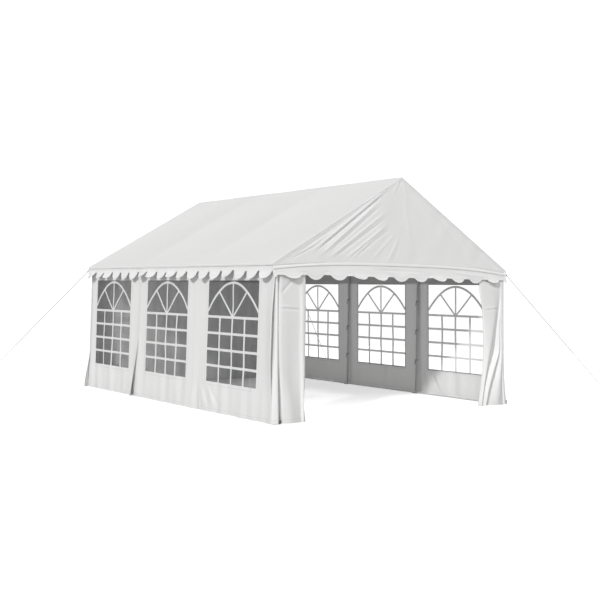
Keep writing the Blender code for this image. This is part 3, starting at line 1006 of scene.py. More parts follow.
class TENT_OT_valances(bpy.types.Operator):
    """Hang the scalloped valances round the roof's edge."""

    bl_idname = "tent.valances"
    bl_label = "Valances"

    def execute(self, context):
        rows = 19
        part = np.linspace(0, 1, rows)[:, None]
        for name, side in SIDES.items():
            self.side_valance(context.scene.tent_cloth, part, name, side)
        for name, end in ENDS.items():
            self.end_valance(context.scene.tent_cloth, part, name, end)
        return {"FINISHED"}

    def side_valance(self, cloth, part, name, side):
        draw = random.Random(31 + side)
        band, uneven_cut, lobe_steps = 0.106, 0.006, 16
        inset, stand_off, wave_height = 0.0045, 0.018, 0.007
        half = GABLE_FACE - 0.004
        pitch = 2 * half / cloth.side_lobes
        along = np.tile(steps(-half, half, 2 * half / (cloth.side_lobes * lobe_steps)), (len(part), 1))
        cusp = VALANCE_TOP - band + uneven_cut * crumple(along, 0 * along, 33 + side, 0.9)
        lobes = Lobes(-half, pitch, cusp - VALANCE_FOOT + 0.004, curls=(0.2, 1.15), fullness=0.5, share=0.84)
        z, out, hem = valance_shape(along, part, VALANCE_TOP, cusp, lobes, draw)
        down = (VALANCE_TOP - z) / (VALANCE_TOP - VALANCE_FOOT)
        wave = wave_height * crumple(along, z, 35 + side, 0.5) * ease(down * 1.3)
        x = side * (VALANCE_EDGE - inset + stand_off * ease(down) + out + wave)
        flat = (along, VALANCE_TOP - z)
        made = add_sheet(
            f"valance_cloth_{name}", (x, along, z), flat, hem, ["gable_canvas"], cloth.thickness,
            (side, 0, 0),
        )
        self.dress(made, f"valance_{name}", (2 * half, VALANCE_TOP - VALANCE_FOOT), "roof_canopy")

    def end_valance(self, cloth, part, name, end):
        draw = random.Random(41 + end)
        overlap, lobe_height, uneven_cut, lobe_steps = 0.012, 0.066, 0.006, 22
        inset, stand_off, wave_height = 0.0025, 0.022, 0.008
        half = ROOF_EDGE + 0.004
        start = -6.5 * cloth.end_pitch
        along = np.tile(steps(-half, half, cloth.end_pitch / lobe_steps), (len(part), 1))
        top = end_hem(along) + overlap
        cusp = VALANCE_FOOT + lobe_height + uneven_cut * crumple(along, 0 * along, 43 + end, 1.4)
        depth = cusp - VALANCE_FOOT + 0.002
        lobes = Lobes(start, cloth.end_pitch, depth, curls=(-0.1, 1.1), fullness=0.7, share=0.68)
        z, out, hem = valance_shape(along, part, top, cusp, lobes, draw)
        down = (top - z) / (top - VALANCE_FOOT)
        wave = wave_height * np.maximum(1 + crumple(along, z, 45 + end, 0.8), 0) * ease(down * 1.2)
        wave += fold_heights(along * -end, z, FRONT_BAND_FOLDS)
        y = end * (GABLE_FACE - inset + stand_off * down + np.maximum(out, 0) + wave)
        flat = (along, top - z)
        made = add_sheet(
            f"valance_cloth_{name}", (along, y, z), flat, hem, ["gable_canvas"], cloth.thickness, (0, end, 0)
        )
        size = (2 * half, float(top.max()) - VALANCE_FOOT)
        self.dress(made, f"valance_{name}", size, f"gable_cloth_{name}")

    def dress(self, made, node, size, carrier):
        """Hides the valance's part from the frame and attaches the sheet to the body."""
        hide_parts(node)
        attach(made, "root")


def wall_relief(along, height, seed):
    """How far a side wall stands out from its plane: drape folds that grow towards the foot."""
    drape_top, wide_fold, narrow_fold = 1.5, 0.43, 0.27
    top_depth, foot_depth, soft_depth = 0.0015, 0.0075, 0.004
    foot = ease((drape_top - height) / drape_top)
    wide = 0.5 * np.sin(math.tau * along / wide_fold + seed)
    narrow = 0.5 * np.sin(math.tau * along / narrow_fold + 2 * seed)
    soft = crumple(along, height * 0.35, 50 + seed, 0.5)
    return (top_depth + foot_depth * foot) * (wide + narrow) + soft_depth * soft * (0.4 + foot)


def panel_span(bay):
    """Where a wall panel starts and ends along the tent."""
    before, beyond = PANEL_ENDS[bay]
    return STATIONS[bay - 1] + before, STATIONS[bay] + beyond


def panel_surface(side, bay, y, z, seam_flare):
    """Distance of a wall panel's cloth from the middle, and how far its front edge is pushed back."""
    gather_depth, gather_pitch = 0.0018, 0.088
    front, back = panel_span(bay)
    relief = wall_relief(y, z, 3 * bay + side)
    if bay == 1:
        relief = relief + fold_heights(y, z, FRONT_BAY_FOLDS)
    near_edge = np.clip(np.minimum(y - front, back - y) / 0.12, 0, 1)
    relief = relief * (0.35 + 0.65 * near_edge) * ease((WALL_TOP - z) / 0.25)
    at_front, at_back = ease((front + 0.24 - y) / 0.24), ease((y - back + 0.16) / 0.16)
    ends = ease((front + 0.30 - y) / 0.12) + ease((y - back + 0.34) / 0.12)
    gathers = gather_depth * np.sin(math.tau * y / gather_pitch + 0.6 * np.sin(2.1 * z + bay))
    relief = relief + gathers * ends * ease((WALL_TOP - z) / 0.3)
    pushed = np.zeros_like(y)
    if bay == 1:
        gaping = 0.030 * ease((z - 0.35) / 0.6) * ease((2.15 - z) / 0.7) if side < 0 else 0.0
        kicked_out = ease((0.45 - z) / 0.45)
        flare = (0.010 + gaping) * at_front + (0.006 + 0.022 * kicked_out) * at_back
    elif bay == 2:
        flare = -0.004 * at_front - 0.004 * at_back
    else:
        low_part = np.clip((LOOSE_BELOW - z) / LOOSE_BELOW, 0, 1) ** 1.15
        flare = (0.006 + seam_flare * low_part) * at_front - 0.003 * at_back
        pushed = 0.10 * low_part * at_front
    return wall_face(z) + flare + relief, pushed


class TENT_OT_wall_panels(bpy.types.Operator):
    """Hang three window panels on each side, with their edges lapped and loose at the foot."""

    bl_idname = "tent.wall_panels"
    bl_label = "Wall panels"

    def execute(self, context):
        cloth = context.scene.tent_cloth
        column, row, lift, lift_top = 0.026, 0.030, 0.010, 0.1
        for name, side in SIDES.items():
            for bay in BAYS:
                low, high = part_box(f"{name}_window_{bay}")
                front, back = panel_span(bay)
                columns = joined_steps([front, low.y, high.y, back], column)
                rows = joined_steps([WALL_FOOT, low.z, high.z, WALL_TOP], row)
                y, z = np.meshgrid(columns, rows)
                out, pushed = panel_surface(side, bay, y, z, cloth.seam_flare)
                uneven = ease(0.5 + crumple(y, 0 * y, 60 + bay, 0.7))
                lifted = lift * uneven * ease((lift_top - z) / lift_top)
                mid_y, mid_z = np.meshgrid((columns[:-1] + columns[1:]) / 2, (rows[:-1] + rows[1:]) / 2)
                hole = from_border(mid_y, mid_z, low.y, high.y, low.z, high.z) > 0
                beside = np.maximum(np.maximum(low.y - y, y - high.y), 0)
                above = np.maximum(np.maximum(low.z - z, z - high.z), 0)
                border = from_border(y, z, front, back, WALL_FOOT, WALL_TOP)
                hem = np.minimum(np.hypot(beside, above), np.maximum(border, 0))
                shape = (side * out, y + pushed, z + lifted)
                made = add_sheet(
                    f"{name}_wall_cloth_{bay}", shape, (y, z), hem, ["wall_canvas"], cloth.thickness,
                    (side, 0, 0), kept=~hole,
                )
                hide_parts(f"{name}_wall_panel_{bay}")
                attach(made, "root")
        return {"FINISHED"}


def film_face(name, bay, y, z, context):
    """Across place of a window's film: it follows its wall panel, with soft waves away from the weld."""
    behind_cloth, flat_border = 0.0025, 0.25
    side = SIDES[name]
    low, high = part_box(f"{name}_window_{bay}")
    inner = from_border(y, z, low.y, high.y, low.z, high.z)
    uneven = crumple(y, z, 70 + 3 * bay + side, 0.6)
    wave = context.scene.tent_windows.film_wave * uneven * ease(inner / flat_border)
    out, _ = panel_surface(side, bay, y, z, context.scene.tent_cloth.seam_flare)
    return side * (out - behind_cloth + wave)


class TENT_OT_window_film(bpy.types.Operator):
    """Weld a pane of film behind each window opening."""

    bl_idname = "tent.window_film"
    bl_label = "Window film"

    def execute(self, context):
        windows = context.scene.tent_windows
        # The film's outer face carries painted shade, the inner face is nearly clear
        finishes = ["film_outer", "film_inner"]
        over, cell = windows.film_overlap, 0.03
        for name, side in SIDES.items():
            for bay in BAYS:
                low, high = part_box(f"{name}_window_{bay}")
                columns = steps(low.y - over, high.y + over, cell)
                y, z = np.meshgrid(columns, steps(low.z - over, high.z + over, cell))
                hem = from_border(y, z, low.y, high.y, low.z, high.z) + over
                shape = (film_face(name, bay, y, z, context), y, z)
                made = add_sheet(
                    f"{name}_film_{bay}", shape, (y, z), hem, finishes, windows.film_thickness, (side, 0, 0)
                )
                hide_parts(f"{name}_window_{bay}")
                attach(made, "root")
        return {"FINISHED"}


def box_bar(place, size, rotation=(0, 0, 0)):
    """A box of this size with its middle at place."""
    bpy.ops.object.select_all(action="DESELECT")
    bpy.ops.mesh.primitive_cube_add(size=1.0, location=place, rotation=rotation)
    made = bpy.context.object
    made.scale = size
    return settle(made)


def flat_bar(start, end, width, thickness):
    """A straight bar between two (along, up) places, standing in the plane x = 0."""
    (a, b), (c, d) = start, end
    size = (thickness, math.hypot(c - a, d - b), width)
    return box_bar((0, (a + c) / 2, (b + d) / 2), size, (math.atan2(d - b, c - a), 0, 0))


def arch_bar(width, height, rise, bar, thickness, points=41):
    """A bar along the arch of a window, from side to side."""
    curve = bpy.data.curves.new("arch", "CURVE")
    curve.dimensions = "3D"
    spline = curve.splines.new("POLY")
    spline.points.add(points - 1)
    for i, point in enumerate(spline.points):
        place = -1 + 2 * i / (points - 1)
        point.co = (0, place * width / 2, height + rise * (1 - ARCH_DROP * place**2), 1)
    rail = bpy.data.curves.new("arch_section", "CURVE")
    rail.dimensions = "2D"
    section = rail.splines.new("POLY")
    section.points.add(3)
    for point, (a, b) in zip(section.points, [(-1, -1), (1, -1), (1, 1), (-1, 1)]):
        point.co = (a * thickness / 2, b * bar / 2, 0, 1)
    section.use_cyclic_u = True
    rail_object = linked_object("arch_section", rail)
    curve.bevel_mode = "OBJECT"
    curve.bevel_object = rail_object
    curve.use_fill_caps = True
    curve.twist_mode = "Z_UP"
    only(linked_object("arch", curve))
    bpy.ops.object.convert(target="MESH")
    made = bpy.context.object
    bpy.data.objects.remove(rail_object)
    bpy.ops.object.mode_set(mode="EDIT")
    bpy.ops.mesh.select_all(action="SELECT")
    bpy.ops.mesh.remove_doubles(threshold=0.0001)
    bpy.ops.mesh.normals_make_consistent(inside=False)
    bpy.ops.object.mode_set(mode="OBJECT")
    return made


def window_lattice(width, height, windows):
    """The bars of one window, flat in the plane x = 0, with the window's lower left corner at the origin."""
    bar, thick, cell = windows.bar_width, windows.bar_thickness, 0.035
    spoke_bar = bar * 0.8
    transom = height * (1 - windows.transom_share)
    rise = height * windows.transom_share - bar * 0.9
    half = width / 2
    bars = [flat_bar((0, transom), (width, transom), bar, thick)]
    for i in range(1, windows.rows):
        level = transom * i / windows.rows
        bars.append(flat_bar((0, level), (width, level), bar, thick))
    for i in range(1, windows.columns):
        place = width * i / windows.columns
        bars.append(flat_bar((place, 0), (place, transom), bar, thick))
    arch = arch_bar(width, transom, rise, bar, thick)
    arch.data.transform(Matrix.Translation((0, half, 0)))
    bars.append(arch)
    bend = ARCH_DROP * rise / half**2
    spoke = (math.sqrt(1 + 4 * bend * rise) - 1) / (2 * bend)
    bars.append(flat_bar((half, transom), (half, transom + rise), spoke_bar, thick))
    for way in (-1, 1):
        bars.append(flat_bar((half, transom), (half + way * spoke, transom + spoke), spoke_bar, thick))
    lattice = bars[0]
    for other in bars[1:]:
        apply_modifier(lattice, "BOOLEAN", operation="UNION", solver="EXACT", object=other)
        bpy.data.objects.remove(other)
    only(lattice)
    bpy.ops.object.mode_set(mode="EDIT")
    for level in np.arange(cell, height, cell):
        bpy.ops.mesh.select_all(action="SELECT")
        bpy.ops.mesh.bisect(plane_co=(0, 0, level), plane_no=(0, 0, 1))
    for place in np.arange(cell, width, cell):
        bpy.ops.mesh.select_all(action="SELECT")
        bpy.ops.mesh.bisect(plane_co=(0, place, 0), plane_no=(0, 1, 0))
    bpy.ops.object.mode_set(mode="OBJECT")
    return lattice


class TENT_OT_window_bars(bpy.types.Operator):
    """Print the white bars on each window: an arch with spokes over a grid."""

    bl_idname = "tent.window_bars"
    bl_label = "Window bars"

    def execute(self, context):
        windows = context.scene.tent_windows
        low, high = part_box("right_window_1")
        lattice = window_lattice(high.y - low.y, high.z - low.z, windows)
        finish_with(lattice, "window_print")
        for name in SIDES:
            for bay in BAYS:
                low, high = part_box(f"{name}_window_{bay}")
                made = copied(lattice, f"{name}_window_bars_{bay}", Matrix.Translation((0, low.y, low.z)))
                places = np.zeros(len(made.data.vertices) * 3)
                made.data.vertices.foreach_get("co", places)
                places = places.reshape(-1, 3)
                places[:, 0] += film_face(name, bay, places[:, 1], places[:, 2], context)
                made.data.vertices.foreach_set("co", places.ravel())
                made.data.update()
                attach(made, "root")
        bpy.data.objects.remove(lattice)
        return {"FINISHED"}


class TENT_OT_back_wall(bpy.types.Operator):
    """Hang the closed back wall: two halves that meet at a zip and wrap round the corner posts."""

    bl_idname = "tent.back_wall"
    bl_label = "Back wall"

    def execute(self, context):
        cloth = context.scene.tent_cloth
        top = GABLE_FOOT + 0.008
        row, corner, wrap = 0.03, 0.025, 0.03
        drape_top, wide_fold, narrow_fold = 1.4, 0.52, 0.31
        flare_top, foot_flare, flare_width = 0.75, 0.095, 0.16
        for name, side in SIDES.items():
            share, z = np.meshgrid(joined_steps([0.0, 0.97, 1.0], 0.012), steps(WALL_FOOT, top, row))
            edge = wall_face(z) + 0.004
            width = edge - corner + corner * math.pi / 2 + wrap
            s = share * width
            straight = np.minimum(s, edge - corner)
            turn = np.clip((s - straight) / corner, 0, math.pi / 2)
            rest = np.maximum(s - straight - corner * math.pi / 2, 0)
            foot = ease((drape_top - z) / drape_top)
            wide = np.sin(math.tau * s / wide_fold + side) * 0.6
            narrow = np.sin(math.tau * s / narrow_fold + 2) * 0.4
            relief = (0.003 + 0.011 * foot) * (wide + narrow) + 0.004 * crumple(s, z * 0.4, 80 + side, 0.5)
            relief = (0.005 + relief) * ease(s / 0.12) * ease((POST_X - s) / 0.15)
            clear = ease((VALANCE_FOOT - 0.01 - z) / 0.35)
            face = BACK_FACE - HALF_PLATE + 0.003 * ease((VALANCE_FOOT - z) / 0.2) + relief * clear
            lap, lap_width = (0.004, 0.012) if side > 0 else (0.0, 0.0)
            at_corner = ease((s - width + flare_width) / flare_width)
            flare = foot_flare * ease((flare_top - z) / flare_top) * at_corner
            y = face + lap * ease((0.06 - s) / 0.06) - corner * (1 - np.cos(turn)) - rest
            x = side * (straight - lap_width * ease((0.05 - s) / 0.05) + corner * np.sin(turn) + flare)
            hem = from_border(s, z, 0, width, WALL_FOOT, top)
            made = add_sheet(
                f"back_cloth_{name}", (x, y, z), (s, z), hem, ["wall_canvas"], cloth.thickness, (0, 1, 0)
            )
            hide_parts(f"back_wall_{name}")
            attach(made, "root")
        return {"FINISHED"}


class TENT_OT_curtains(bpy.types.Operator):
    """Hang the two front curtains, drawn to the corner posts, and the flaps that wrap the posts."""

    bl_idname = "tent.curtains"
    bl_label = "Front curtains"

    def execute(self, context):
        curtains = {
            "left": (LEFT_CURTAIN, LEFT_CURTAIN_FOLDS),
            "right": (RIGHT_CURTAIN, RIGHT_CURTAIN_FOLDS),
        }
        for name, (plans, folds) in curtains.items():
            made, size = hung_cloth(f"curtain_{name}", plans, folds, (0, -1, 0), tall=150, wide=110)
            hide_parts(f"front_curtain_{name}")
            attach(made, "root")
        for name, plans in {"left": LEFT_FLAP, "right": RIGHT_FLAP}.items():
            outward = (SIDES[name], -1, 0)
            made, size = hung_cloth(f"corner_flap_{name}", plans, [], outward, tall=84, wide=34)
            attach(made, "root")
        return {"FINISHED"}


class TENT_OT_frame_finish(bpy.types.Operator):
    """Give the tubes, rails, feet and pegs their metal."""

    bl_idname = "tent.frame_finish"
    bl_label = "Frame finish"

    def execute(self, context):
        for name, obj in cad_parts.items():
            # The ground rails get the lighter zinc: painted light for the floor's light on them
            if name.endswith("ground_rail"):
                finish_with(obj, "chalky_zinc")
            elif name.endswith("rail") or "_post_" in name or "_rafter_" in name:
                finish_with(obj, "zinc_tube")
            elif name.startswith("peg_"):
                finish_with(obj, "peg_steel")
        return {"FINISHED"}


def strand_mesh(name, start, end, settings, sides=6):
    """A laid rope from start to end: strands that wind round its middle line."""
    strand_share, steps_per_turn = 0.54, 10
    along = (end - start).normalized()
    first = along.orthogonal().normalized()
    second = along.cross(first)
    length = (end - start).length
    count = max(2, round(length / settings.rope_lay * steps_per_turn))
    thick = settings.rope_radius * strand_share
    offset = settings.rope_radius - thick
    parts = []
    for strand in range(settings.strands):
        points, faces = [], []
        for i in range(count + 1):
            turn = math.tau * (i * length / count / settings.rope_lay + strand / settings.strands)
            outward = first * math.cos(turn) + second * math.sin(turn)
            centre = start + along * (length * i / count) + outward * offset
            for j in range(sides):
                around = math.tau * j / sides
                points.append(centre + (first * math.cos(around) + second * math.sin(around)) * thick)
        for i in range(count):
            for j in range(sides):
                a, b = i * sides + j, i * sides + (j + 1) % sides
                faces.append((a, b, b + sides, a + sides))
        faces.append(tuple(reversed(range(sides))))
        faces.append(tuple(range(count * sides, (count + 1) * sides)))
        mesh = bpy.data.meshes.new(name)
        mesh.from_pydata([tuple(p) for p in points], [], faces)
        parts.append(linked_object(f"{name}_strand_{strand}", mesh))
    return join(name, parts)


def torus(place, ring, tube, rotation=(0, 0, 0)):
    """A ring of round section."""
    bpy.ops.object.select_all(action="DESELECT")
    bpy.ops.mesh.primitive_torus_add(
        location=place, rotation=rotation, major_radius=ring, minor_radius=tube, major_segments=28,
        minor_segments=10,
    )
    return settle(bpy.context.object)


def corner_ways(corner):
    """Which side and which end of the tent a corner is at, as -1 or 1."""
    end, side = corner.split("_")
    return SIDES[side], ENDS[end]


def rope_ends(corner):
    """The ends of a corner's guy rope, at the roof and at the peg."""
    low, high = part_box(f"guy_rope_{corner}")
    side, end = corner_ways(corner)
    near = Vector((low.x if side > 0 else high.x, high.y if end < 0 else low.y, high.z))
    far = Vector((high.x if side > 0 else low.x, low.y if end < 0 else high.y, low.z))
    return near, far


class TENT_OT_guy_ropes(bpy.types.Operator):
    """Run the three laid guy ropes from the roof's corners to their pegs."""

    bl_idname = "tent.guy_ropes"
    bl_label = "Guy ropes"

    def execute(self, context):
        ropes = context.scene.tent_ropes
        winding_pitch, shank_share, knot_distance = 0.0075, 0.54, 0.03
        for corner in ROPE_CORNERS:
            near, far = rope_ends(corner)
            parts = [strand_mesh(f"laid_rope_{corner}", near, far, ropes)]
            peg_low, peg_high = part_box(f"peg_{corner}")
            peg = (peg_low + peg_high) / 2
            shank = (peg_high.x - peg_low.x) / 2 * shank_share
            for winding in range(3):
                height = far.z - 0.004 + winding * winding_pitch
                ring = shank + ropes.rope_radius + 0.001
                parts.append(torus((peg.x, peg.y, height), ring, ropes.rope_radius))
            turn = math.atan2(far.y - near.y, far.x - near.x)
            slope = math.atan2(near.z - far.z, math.hypot(near.x - far.x, near.y - far.y))
            tilt = (0, math.pi / 2 + slope, turn)
            upward = (near - far).normalized()
            for bound, size in ((far + upward * knot_distance, 1.0), (near - upward * knot_distance, 1.25)):
                for i in (-1, 0, 1):
                    place = bound + upward * i * winding_pitch
                    parts.append(torus(place, ropes.rope_radius * 1.3 * size, ropes.rope_radius * 0.8, tilt))
            made = smoothed(join(f"laid_rope_{corner}", parts), 50)
            finish_with(made, "rope_yarn")
            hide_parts(f"guy_rope_{corner}")
            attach(made, "root")
        return {"FINISHED"}


def round_bar(place, radius, depth, rotation=(0, 0, 0), sides=24):
    """A cylinder with rounded rims."""
    bpy.ops.object.select_all(action="DESELECT")
    bpy.ops.mesh.primitive_cylinder_add(
        vertices=sides, radius=radius, depth=depth, location=place, rotation=rotation
    )
    made = bpy.context.object
    apply_modifier(made, "BEVEL", width=min(radius, depth) * 0.2, segments=2, limit_method="ANGLE")
    return settle(made)


def wing_screw():
    """A wing screw that points along +X, with its seat at the origin."""
    lying = (0, math.pi / 2, 0)
    shank = round_bar((0.007, 0, 0), 0.004, 0.014, lying, 16)
    collar = round_bar((0.004, 0, 0), 0.009, 0.006, lying)
    parts = [shank, collar]
    for way in (-1, 1):
        tilt = (way * math.radians(-60), 0, 0)
        wing = box_bar((0.012, way * 0.011, 0.006), (0.003, 0.010, 0.018), tilt)
        parts.append(apply_modifier(wing, "BEVEL", width=EDGE_ROUNDING, segments=2))
    return join("wing_screw", parts)


class TENT_OT_fittings(bpy.types.Operator):
    """Add wing screws at the connectors, ground nails at the feet, straps on the posts and the rope tabs."""

    bl_idname = "tent.fittings"
    bl_label = "Fittings"

    def execute(self, context):
        self.screws()
        self.nails()
        self.straps()
        self.tabs()
        self.zip_fastener()
        return {"FINISHED"}

    def screws(self):
        """Wing screws on the connectors: on every rafter, and at the eaves on every post too."""
        screw = wing_screw()
        seat = POST_RADIUS + 0.0022
        reach, drop = 0.11, 0.12
        ridge = middle("ridge_rail").z
        eave = ridge - ROOF_SLOPE * POST_X
        for rail, side in {"left_eave_rail": -1, "right_eave_rail": 1, "ridge_rail": 0}.items():
            slant = 1 if side else -1
            made = []
            for station in STATIONS:
                if side:
                    place = Matrix.Translation((side * (POST_X - seat), station, eave - drop))
                    turn = Matrix.Rotation(math.pi if side > 0 else 0.0, 4, "Z")
                    made.append(copied(screw, f"{rail}_screw", place @ turn))
                for way in (-side,) if side else (-1, 1):
                    root = Vector((side * POST_X, station, eave if side else ridge))
                    rise = slant * reach * math.sin(ROOF_ANGLE)
                    spot = root + Vector((way * reach * math.cos(ROOF_ANGLE), 0, rise))
                    spot.y += seat if station < 0 else -seat
                    turn = Matrix.Rotation(math.pi / 2 if station < 0 else -math.pi / 2, 4, "Z")
                    made.append(copied(screw, f"{rail}_screw", Matrix.Translation(spot) @ turn))
            group = smoothed(join(f"wing_screws_{rail}", made))
            finish_with(group, "zinc_tube")
            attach(group, "root")
        bpy.data.objects.remove(screw)

    def nails(self):
        """Two nails through every foot plate, and the two pegs at the curtains' feet."""
        head = round_bar((0, 0, 0.006), 0.011, 0.009)
        neck = round_bar((0, 0, 0.0015), 0.015, 0.003)
        nail = join("ground_nail", [head, neck])
        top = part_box("right_ground_rail")[0].z
        offset = 0.038
        made = []
        for side in SIDES.values():
            for station in STATIONS:
                for step in (-1, 1):
                    place = (side * (POST_X - offset), station + step * offset, top)
                    made.append(copied(nail, "ground_nail_copy", Matrix.Translation(place)))
        bpy.data.objects.remove(nail)
        for x, y in CURTAIN_PEGS:
            made.append(round_bar((x, y, 0.030), 0.008, 0.060))
            made.append(round_bar((x, y, 0.058), 0.014, 0.006))
        group = smoothed(join("ground_nails", made))
        finish_with(group, "peg_steel")
        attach(group, "root")

    def straps(self):
        """Bands round every post, each with a knot and a hanging tail."""
        made = []
        for side in SIDES.values():
            for station in STATIONS:
                for height in STRAP_HEIGHTS:
                    made += self.strap(side, station, height)
        group = smoothed(join("post_straps", made))
        finish_with(group, "strap_webbing")
        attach(group, "root")

    def strap(self, side, station, height):
        """A band round one post, with the knot and the tail on its inner side."""
        inward = -side
        across = side * POST_X
        bpy.ops.object.select_all(action="DESELECT")
        bpy.ops.mesh.primitive_cylinder_add(
            vertices=32, radius=POST_RADIUS + 0.0025, depth=0.025, location=(across, station, height),
            end_fill_type="NOTHING",
        )
        band = apply_modifier(settle(bpy.context.object), "SOLIDIFY", thickness=0.0016, offset=0.0)
        knot_place = (across + inward * (POST_RADIUS + 0.006), station, height)
        knot = round_bar(knot_place, 0.010, 0.012, (0, math.pi / 2, 0))
        tail_place = (across + inward * (POST_RADIUS + 0.010), station + 0.012, height - 0.045)
        tail = box_bar(tail_place, (0.002, 0.018, 0.085), (0.22, inward * 0.06, 0))
        return [band, knot, tail]

    def tabs(self):
        """At each rope, a ring of metal in a tab of the roof's cloth."""
        made, rings = [], []
        for corner in ROPE_CORNERS:
            near, _ = rope_ends(corner)
            side, end = corner_ways(corner)
            rings.append(torus(near, 0.016, 0.0028, (math.pi / 2, 0, math.radians(27) * side * end)))
            spot = near + Vector((-side * 0.012, -end * 0.004, 0.026))
            tab = box_bar(spot, (0.004, 0.028, 0.052), (0, side * 0.35, 0))
            made.append(apply_modifier(tab, "BEVEL", width=EDGE_ROUNDING, segments=2))
        group = smoothed(join("rope_tabs", made))
        finish_with(group, "gable_canvas")
        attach(group, "root")
        metal = smoothed(join("rope_rings", rings), 60)
        finish_with(metal, "chalky_zinc")
        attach(metal, "root")

    def zip_fastener(self):
        """Zip of the back wall: two rows of teeth, a slider and its pull."""
        face = BACK_FACE + 0.0095
        low, high = WALL_FOOT + 0.03, VALANCE_FOOT + 0.045
        pitch = 0.009
        tooth = box_bar((0.0, face, low), (0.012, 0.003, 0.005))
        apply_modifier(
            tooth, "ARRAY", count=int((high - low) / pitch), use_relative_offset=False,
            use_constant_offset=True, constant_offset_displace=(0, 0, pitch),
        )
        tape = flat_bar((0, low), (0, high), 0.03, 0.002)
        tape.data.transform(Matrix.Rotation(math.pi / 2, 4, "Z"))
        tape.data.transform(Matrix.Translation((0, face - 0.002, 0)))
        slider = round_bar((0, face + 0.003, 0.42), 0.010, 0.007, (math.pi / 2, 0, 0))
        pull = round_bar((0, face + 0.006, 0.39), 0.006, 0.06)
        group = smoothed(join("back_zip", [tooth, tape, slider, pull]))
        finish_with(group, "strap_webbing")
        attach(group, "root")


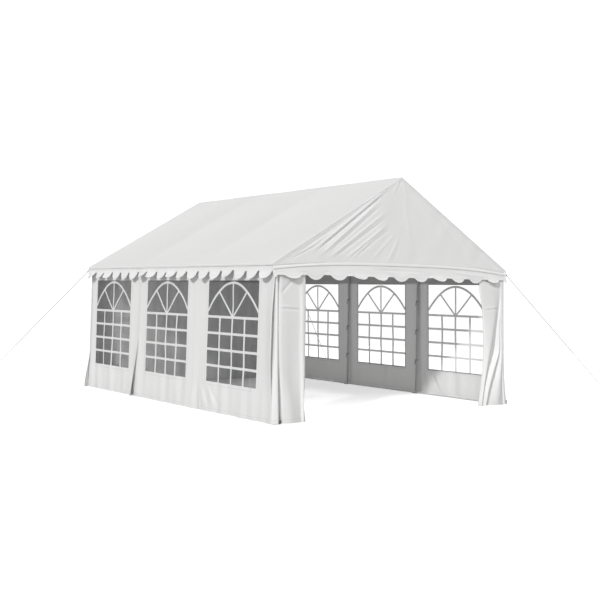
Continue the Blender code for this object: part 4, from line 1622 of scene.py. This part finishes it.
class TENT_OT_stage(bpy.types.Operator):
    """Set the pale floor, the light and the camera."""

    bl_idname = "tent.stage"
    bl_label = "Stage"

    def execute(self, context):
        stage = context.scene.tent_stage
        bpy.ops.object.select_all(action="DESELECT")
        bpy.ops.mesh.primitive_circle_add(
            vertices=128, radius=stage.floor_radius, fill_type="NGON", location=(0, 0, 0)
        )
        floor = bpy.context.object
        floor.name = "floor"
        finish_with(floor, "studio_floor")
        self.light(stage)
        self.camera(stage)
        context.scene.view_settings.view_transform = "Standard"
        return {"FINISHED"}

    def light(self, stage):
        """Key light, soft light on the front, a glow inside the sunlit wall, and light from all round."""
        key = self.add_light("key", "SUN", stage.light_direction, stage.key_strength)
        key.data.angle = stage.key_softness
        fill = self.add_light("front_fill", "SUN", (0.10, 0.95, -0.30), stage.fill_strength)
        fill.data.angle = math.radians(80)
        glow = self.add_light("cloth_glow", "AREA", (1.0, 0.0, 0.0), stage.glow_power)
        glow.data.shape = "RECTANGLE"
        glow.data.size = 5.2
        glow.data.size_y = 1.8
        glow.location = (-WALL_TOP_X + 0.25, 0.0, 1.15)
        glow.visible_camera = False
        glow.visible_glossy = False
        world = bpy.data.worlds.new("studio")
        world.use_nodes = True
        tree = world.node_tree
        background = tree.nodes["Background"]
        background.inputs["Color"].default_value = (1, 1, 1, 1)
        path = tree.nodes.new("ShaderNodeLightPath")
        strength = tree.nodes.new("ShaderNodeMapRange")
        strength.inputs["To Min"].default_value = stage.sky_strength
        strength.inputs["To Max"].default_value = BACKDROP
        tree.links.new(path.outputs["Is Camera Ray"], strength.inputs["Value"])
        tree.links.new(strength.outputs[0], background.inputs["Strength"])
        bpy.context.scene.world = world

    def add_light(self, name, kind, direction, energy):
        """A light that shines in this direction."""
        data = bpy.data.lights.new(name, kind)
        data.energy = energy
        made = linked_object(name, data)
        made.rotation_mode = "QUATERNION"
        made.rotation_quaternion = Vector(direction).to_track_quat("-Z", "Y")
        return made

    def camera(self, stage):
        """Camera of the photo: yaw turns it from +Y towards +X, then it looks up or down and rolls."""
        yaw, pitch, roll = stage.camera_yaw, stage.camera_pitch, stage.camera_roll
        level = Vector((math.sin(yaw), math.cos(yaw), 0))
        right = Vector((math.cos(yaw), -math.sin(yaw), 0))
        up = Vector((0, 0, 1))
        forward = level * math.cos(pitch) + up * math.sin(pitch)
        above = up * math.cos(pitch) - level * math.sin(pitch)
        rolled_right = right * math.cos(roll) + above * math.sin(roll)
        rolled_up = above * math.cos(roll) - right * math.sin(roll)
        lens = bpy.data.cameras.new("camera")
        lens.sensor_width = 36.0
        lens.lens = stage.focal_pixels / PHOTO_WIDTH * lens.sensor_width
        lens.clip_end = 200.0
        camera = linked_object("camera", lens)
        turn = Matrix((rolled_right, rolled_up, -forward)).transposed().to_4x4()
        camera.matrix_world = Matrix.Translation(Vector(stage.camera_place)) @ turn
        bpy.context.scene.camera = camera


class TENT_PT_sidebar(bpy.types.Panel):
    """Shows the tent's settings and a button for each step."""

    bl_idname = "TENT_PT_sidebar"
    bl_label = "Event Tent"
    bl_space_type = "VIEW_3D"
    bl_region_type = "UI"
    bl_category = "Event Tent"

    def draw(self, context):
        for group in SETTINGS:
            column = self.layout.column(align=True)
            settings = getattr(context.scene, group)
            for name in settings.bl_rna.properties.keys():
                if name not in ("rna_type", "name"):
                    column.prop(settings, name)
        for operator in OPERATORS:
            self.layout.operator(operator.bl_idname)


SETTINGS = {
    "tent_cloth": TentClothSettings,
    "tent_windows": TentWindowSettings,
    "tent_ropes": TentRopeSettings,
    "tent_stage": TentStageSettings,
}
OPERATORS = (
    TENT_OT_stage,
    TENT_OT_frame_finish,
    TENT_OT_canopy,
    TENT_OT_gables,
    TENT_OT_valances,
    TENT_OT_wall_panels,
    TENT_OT_window_film,
    TENT_OT_window_bars,
    TENT_OT_back_wall,
    TENT_OT_curtains,
    TENT_OT_guy_ropes,
    TENT_OT_fittings,
)


def register():
    for name, group in SETTINGS.items():
        bpy.utils.register_class(group)
        setattr(bpy.types.Scene, name, bpy.props.PointerProperty(type=group))
    for operator in OPERATORS:
        bpy.utils.register_class(operator)
    bpy.utils.register_class(TENT_PT_sidebar)


def unregister():
    bpy.utils.unregister_class(TENT_PT_sidebar)
    for operator in reversed(OPERATORS):
        bpy.utils.unregister_class(operator)
    for name, group in SETTINGS.items():
        delattr(bpy.types.Scene, name)
        bpy.utils.unregister_class(group)


def main():
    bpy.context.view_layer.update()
    register()
    for operator in OPERATORS:
        group, name = operator.bl_idname.split(".")
        getattr(getattr(bpy.ops, group), name)()


if __name__ == "__main__":
    main()
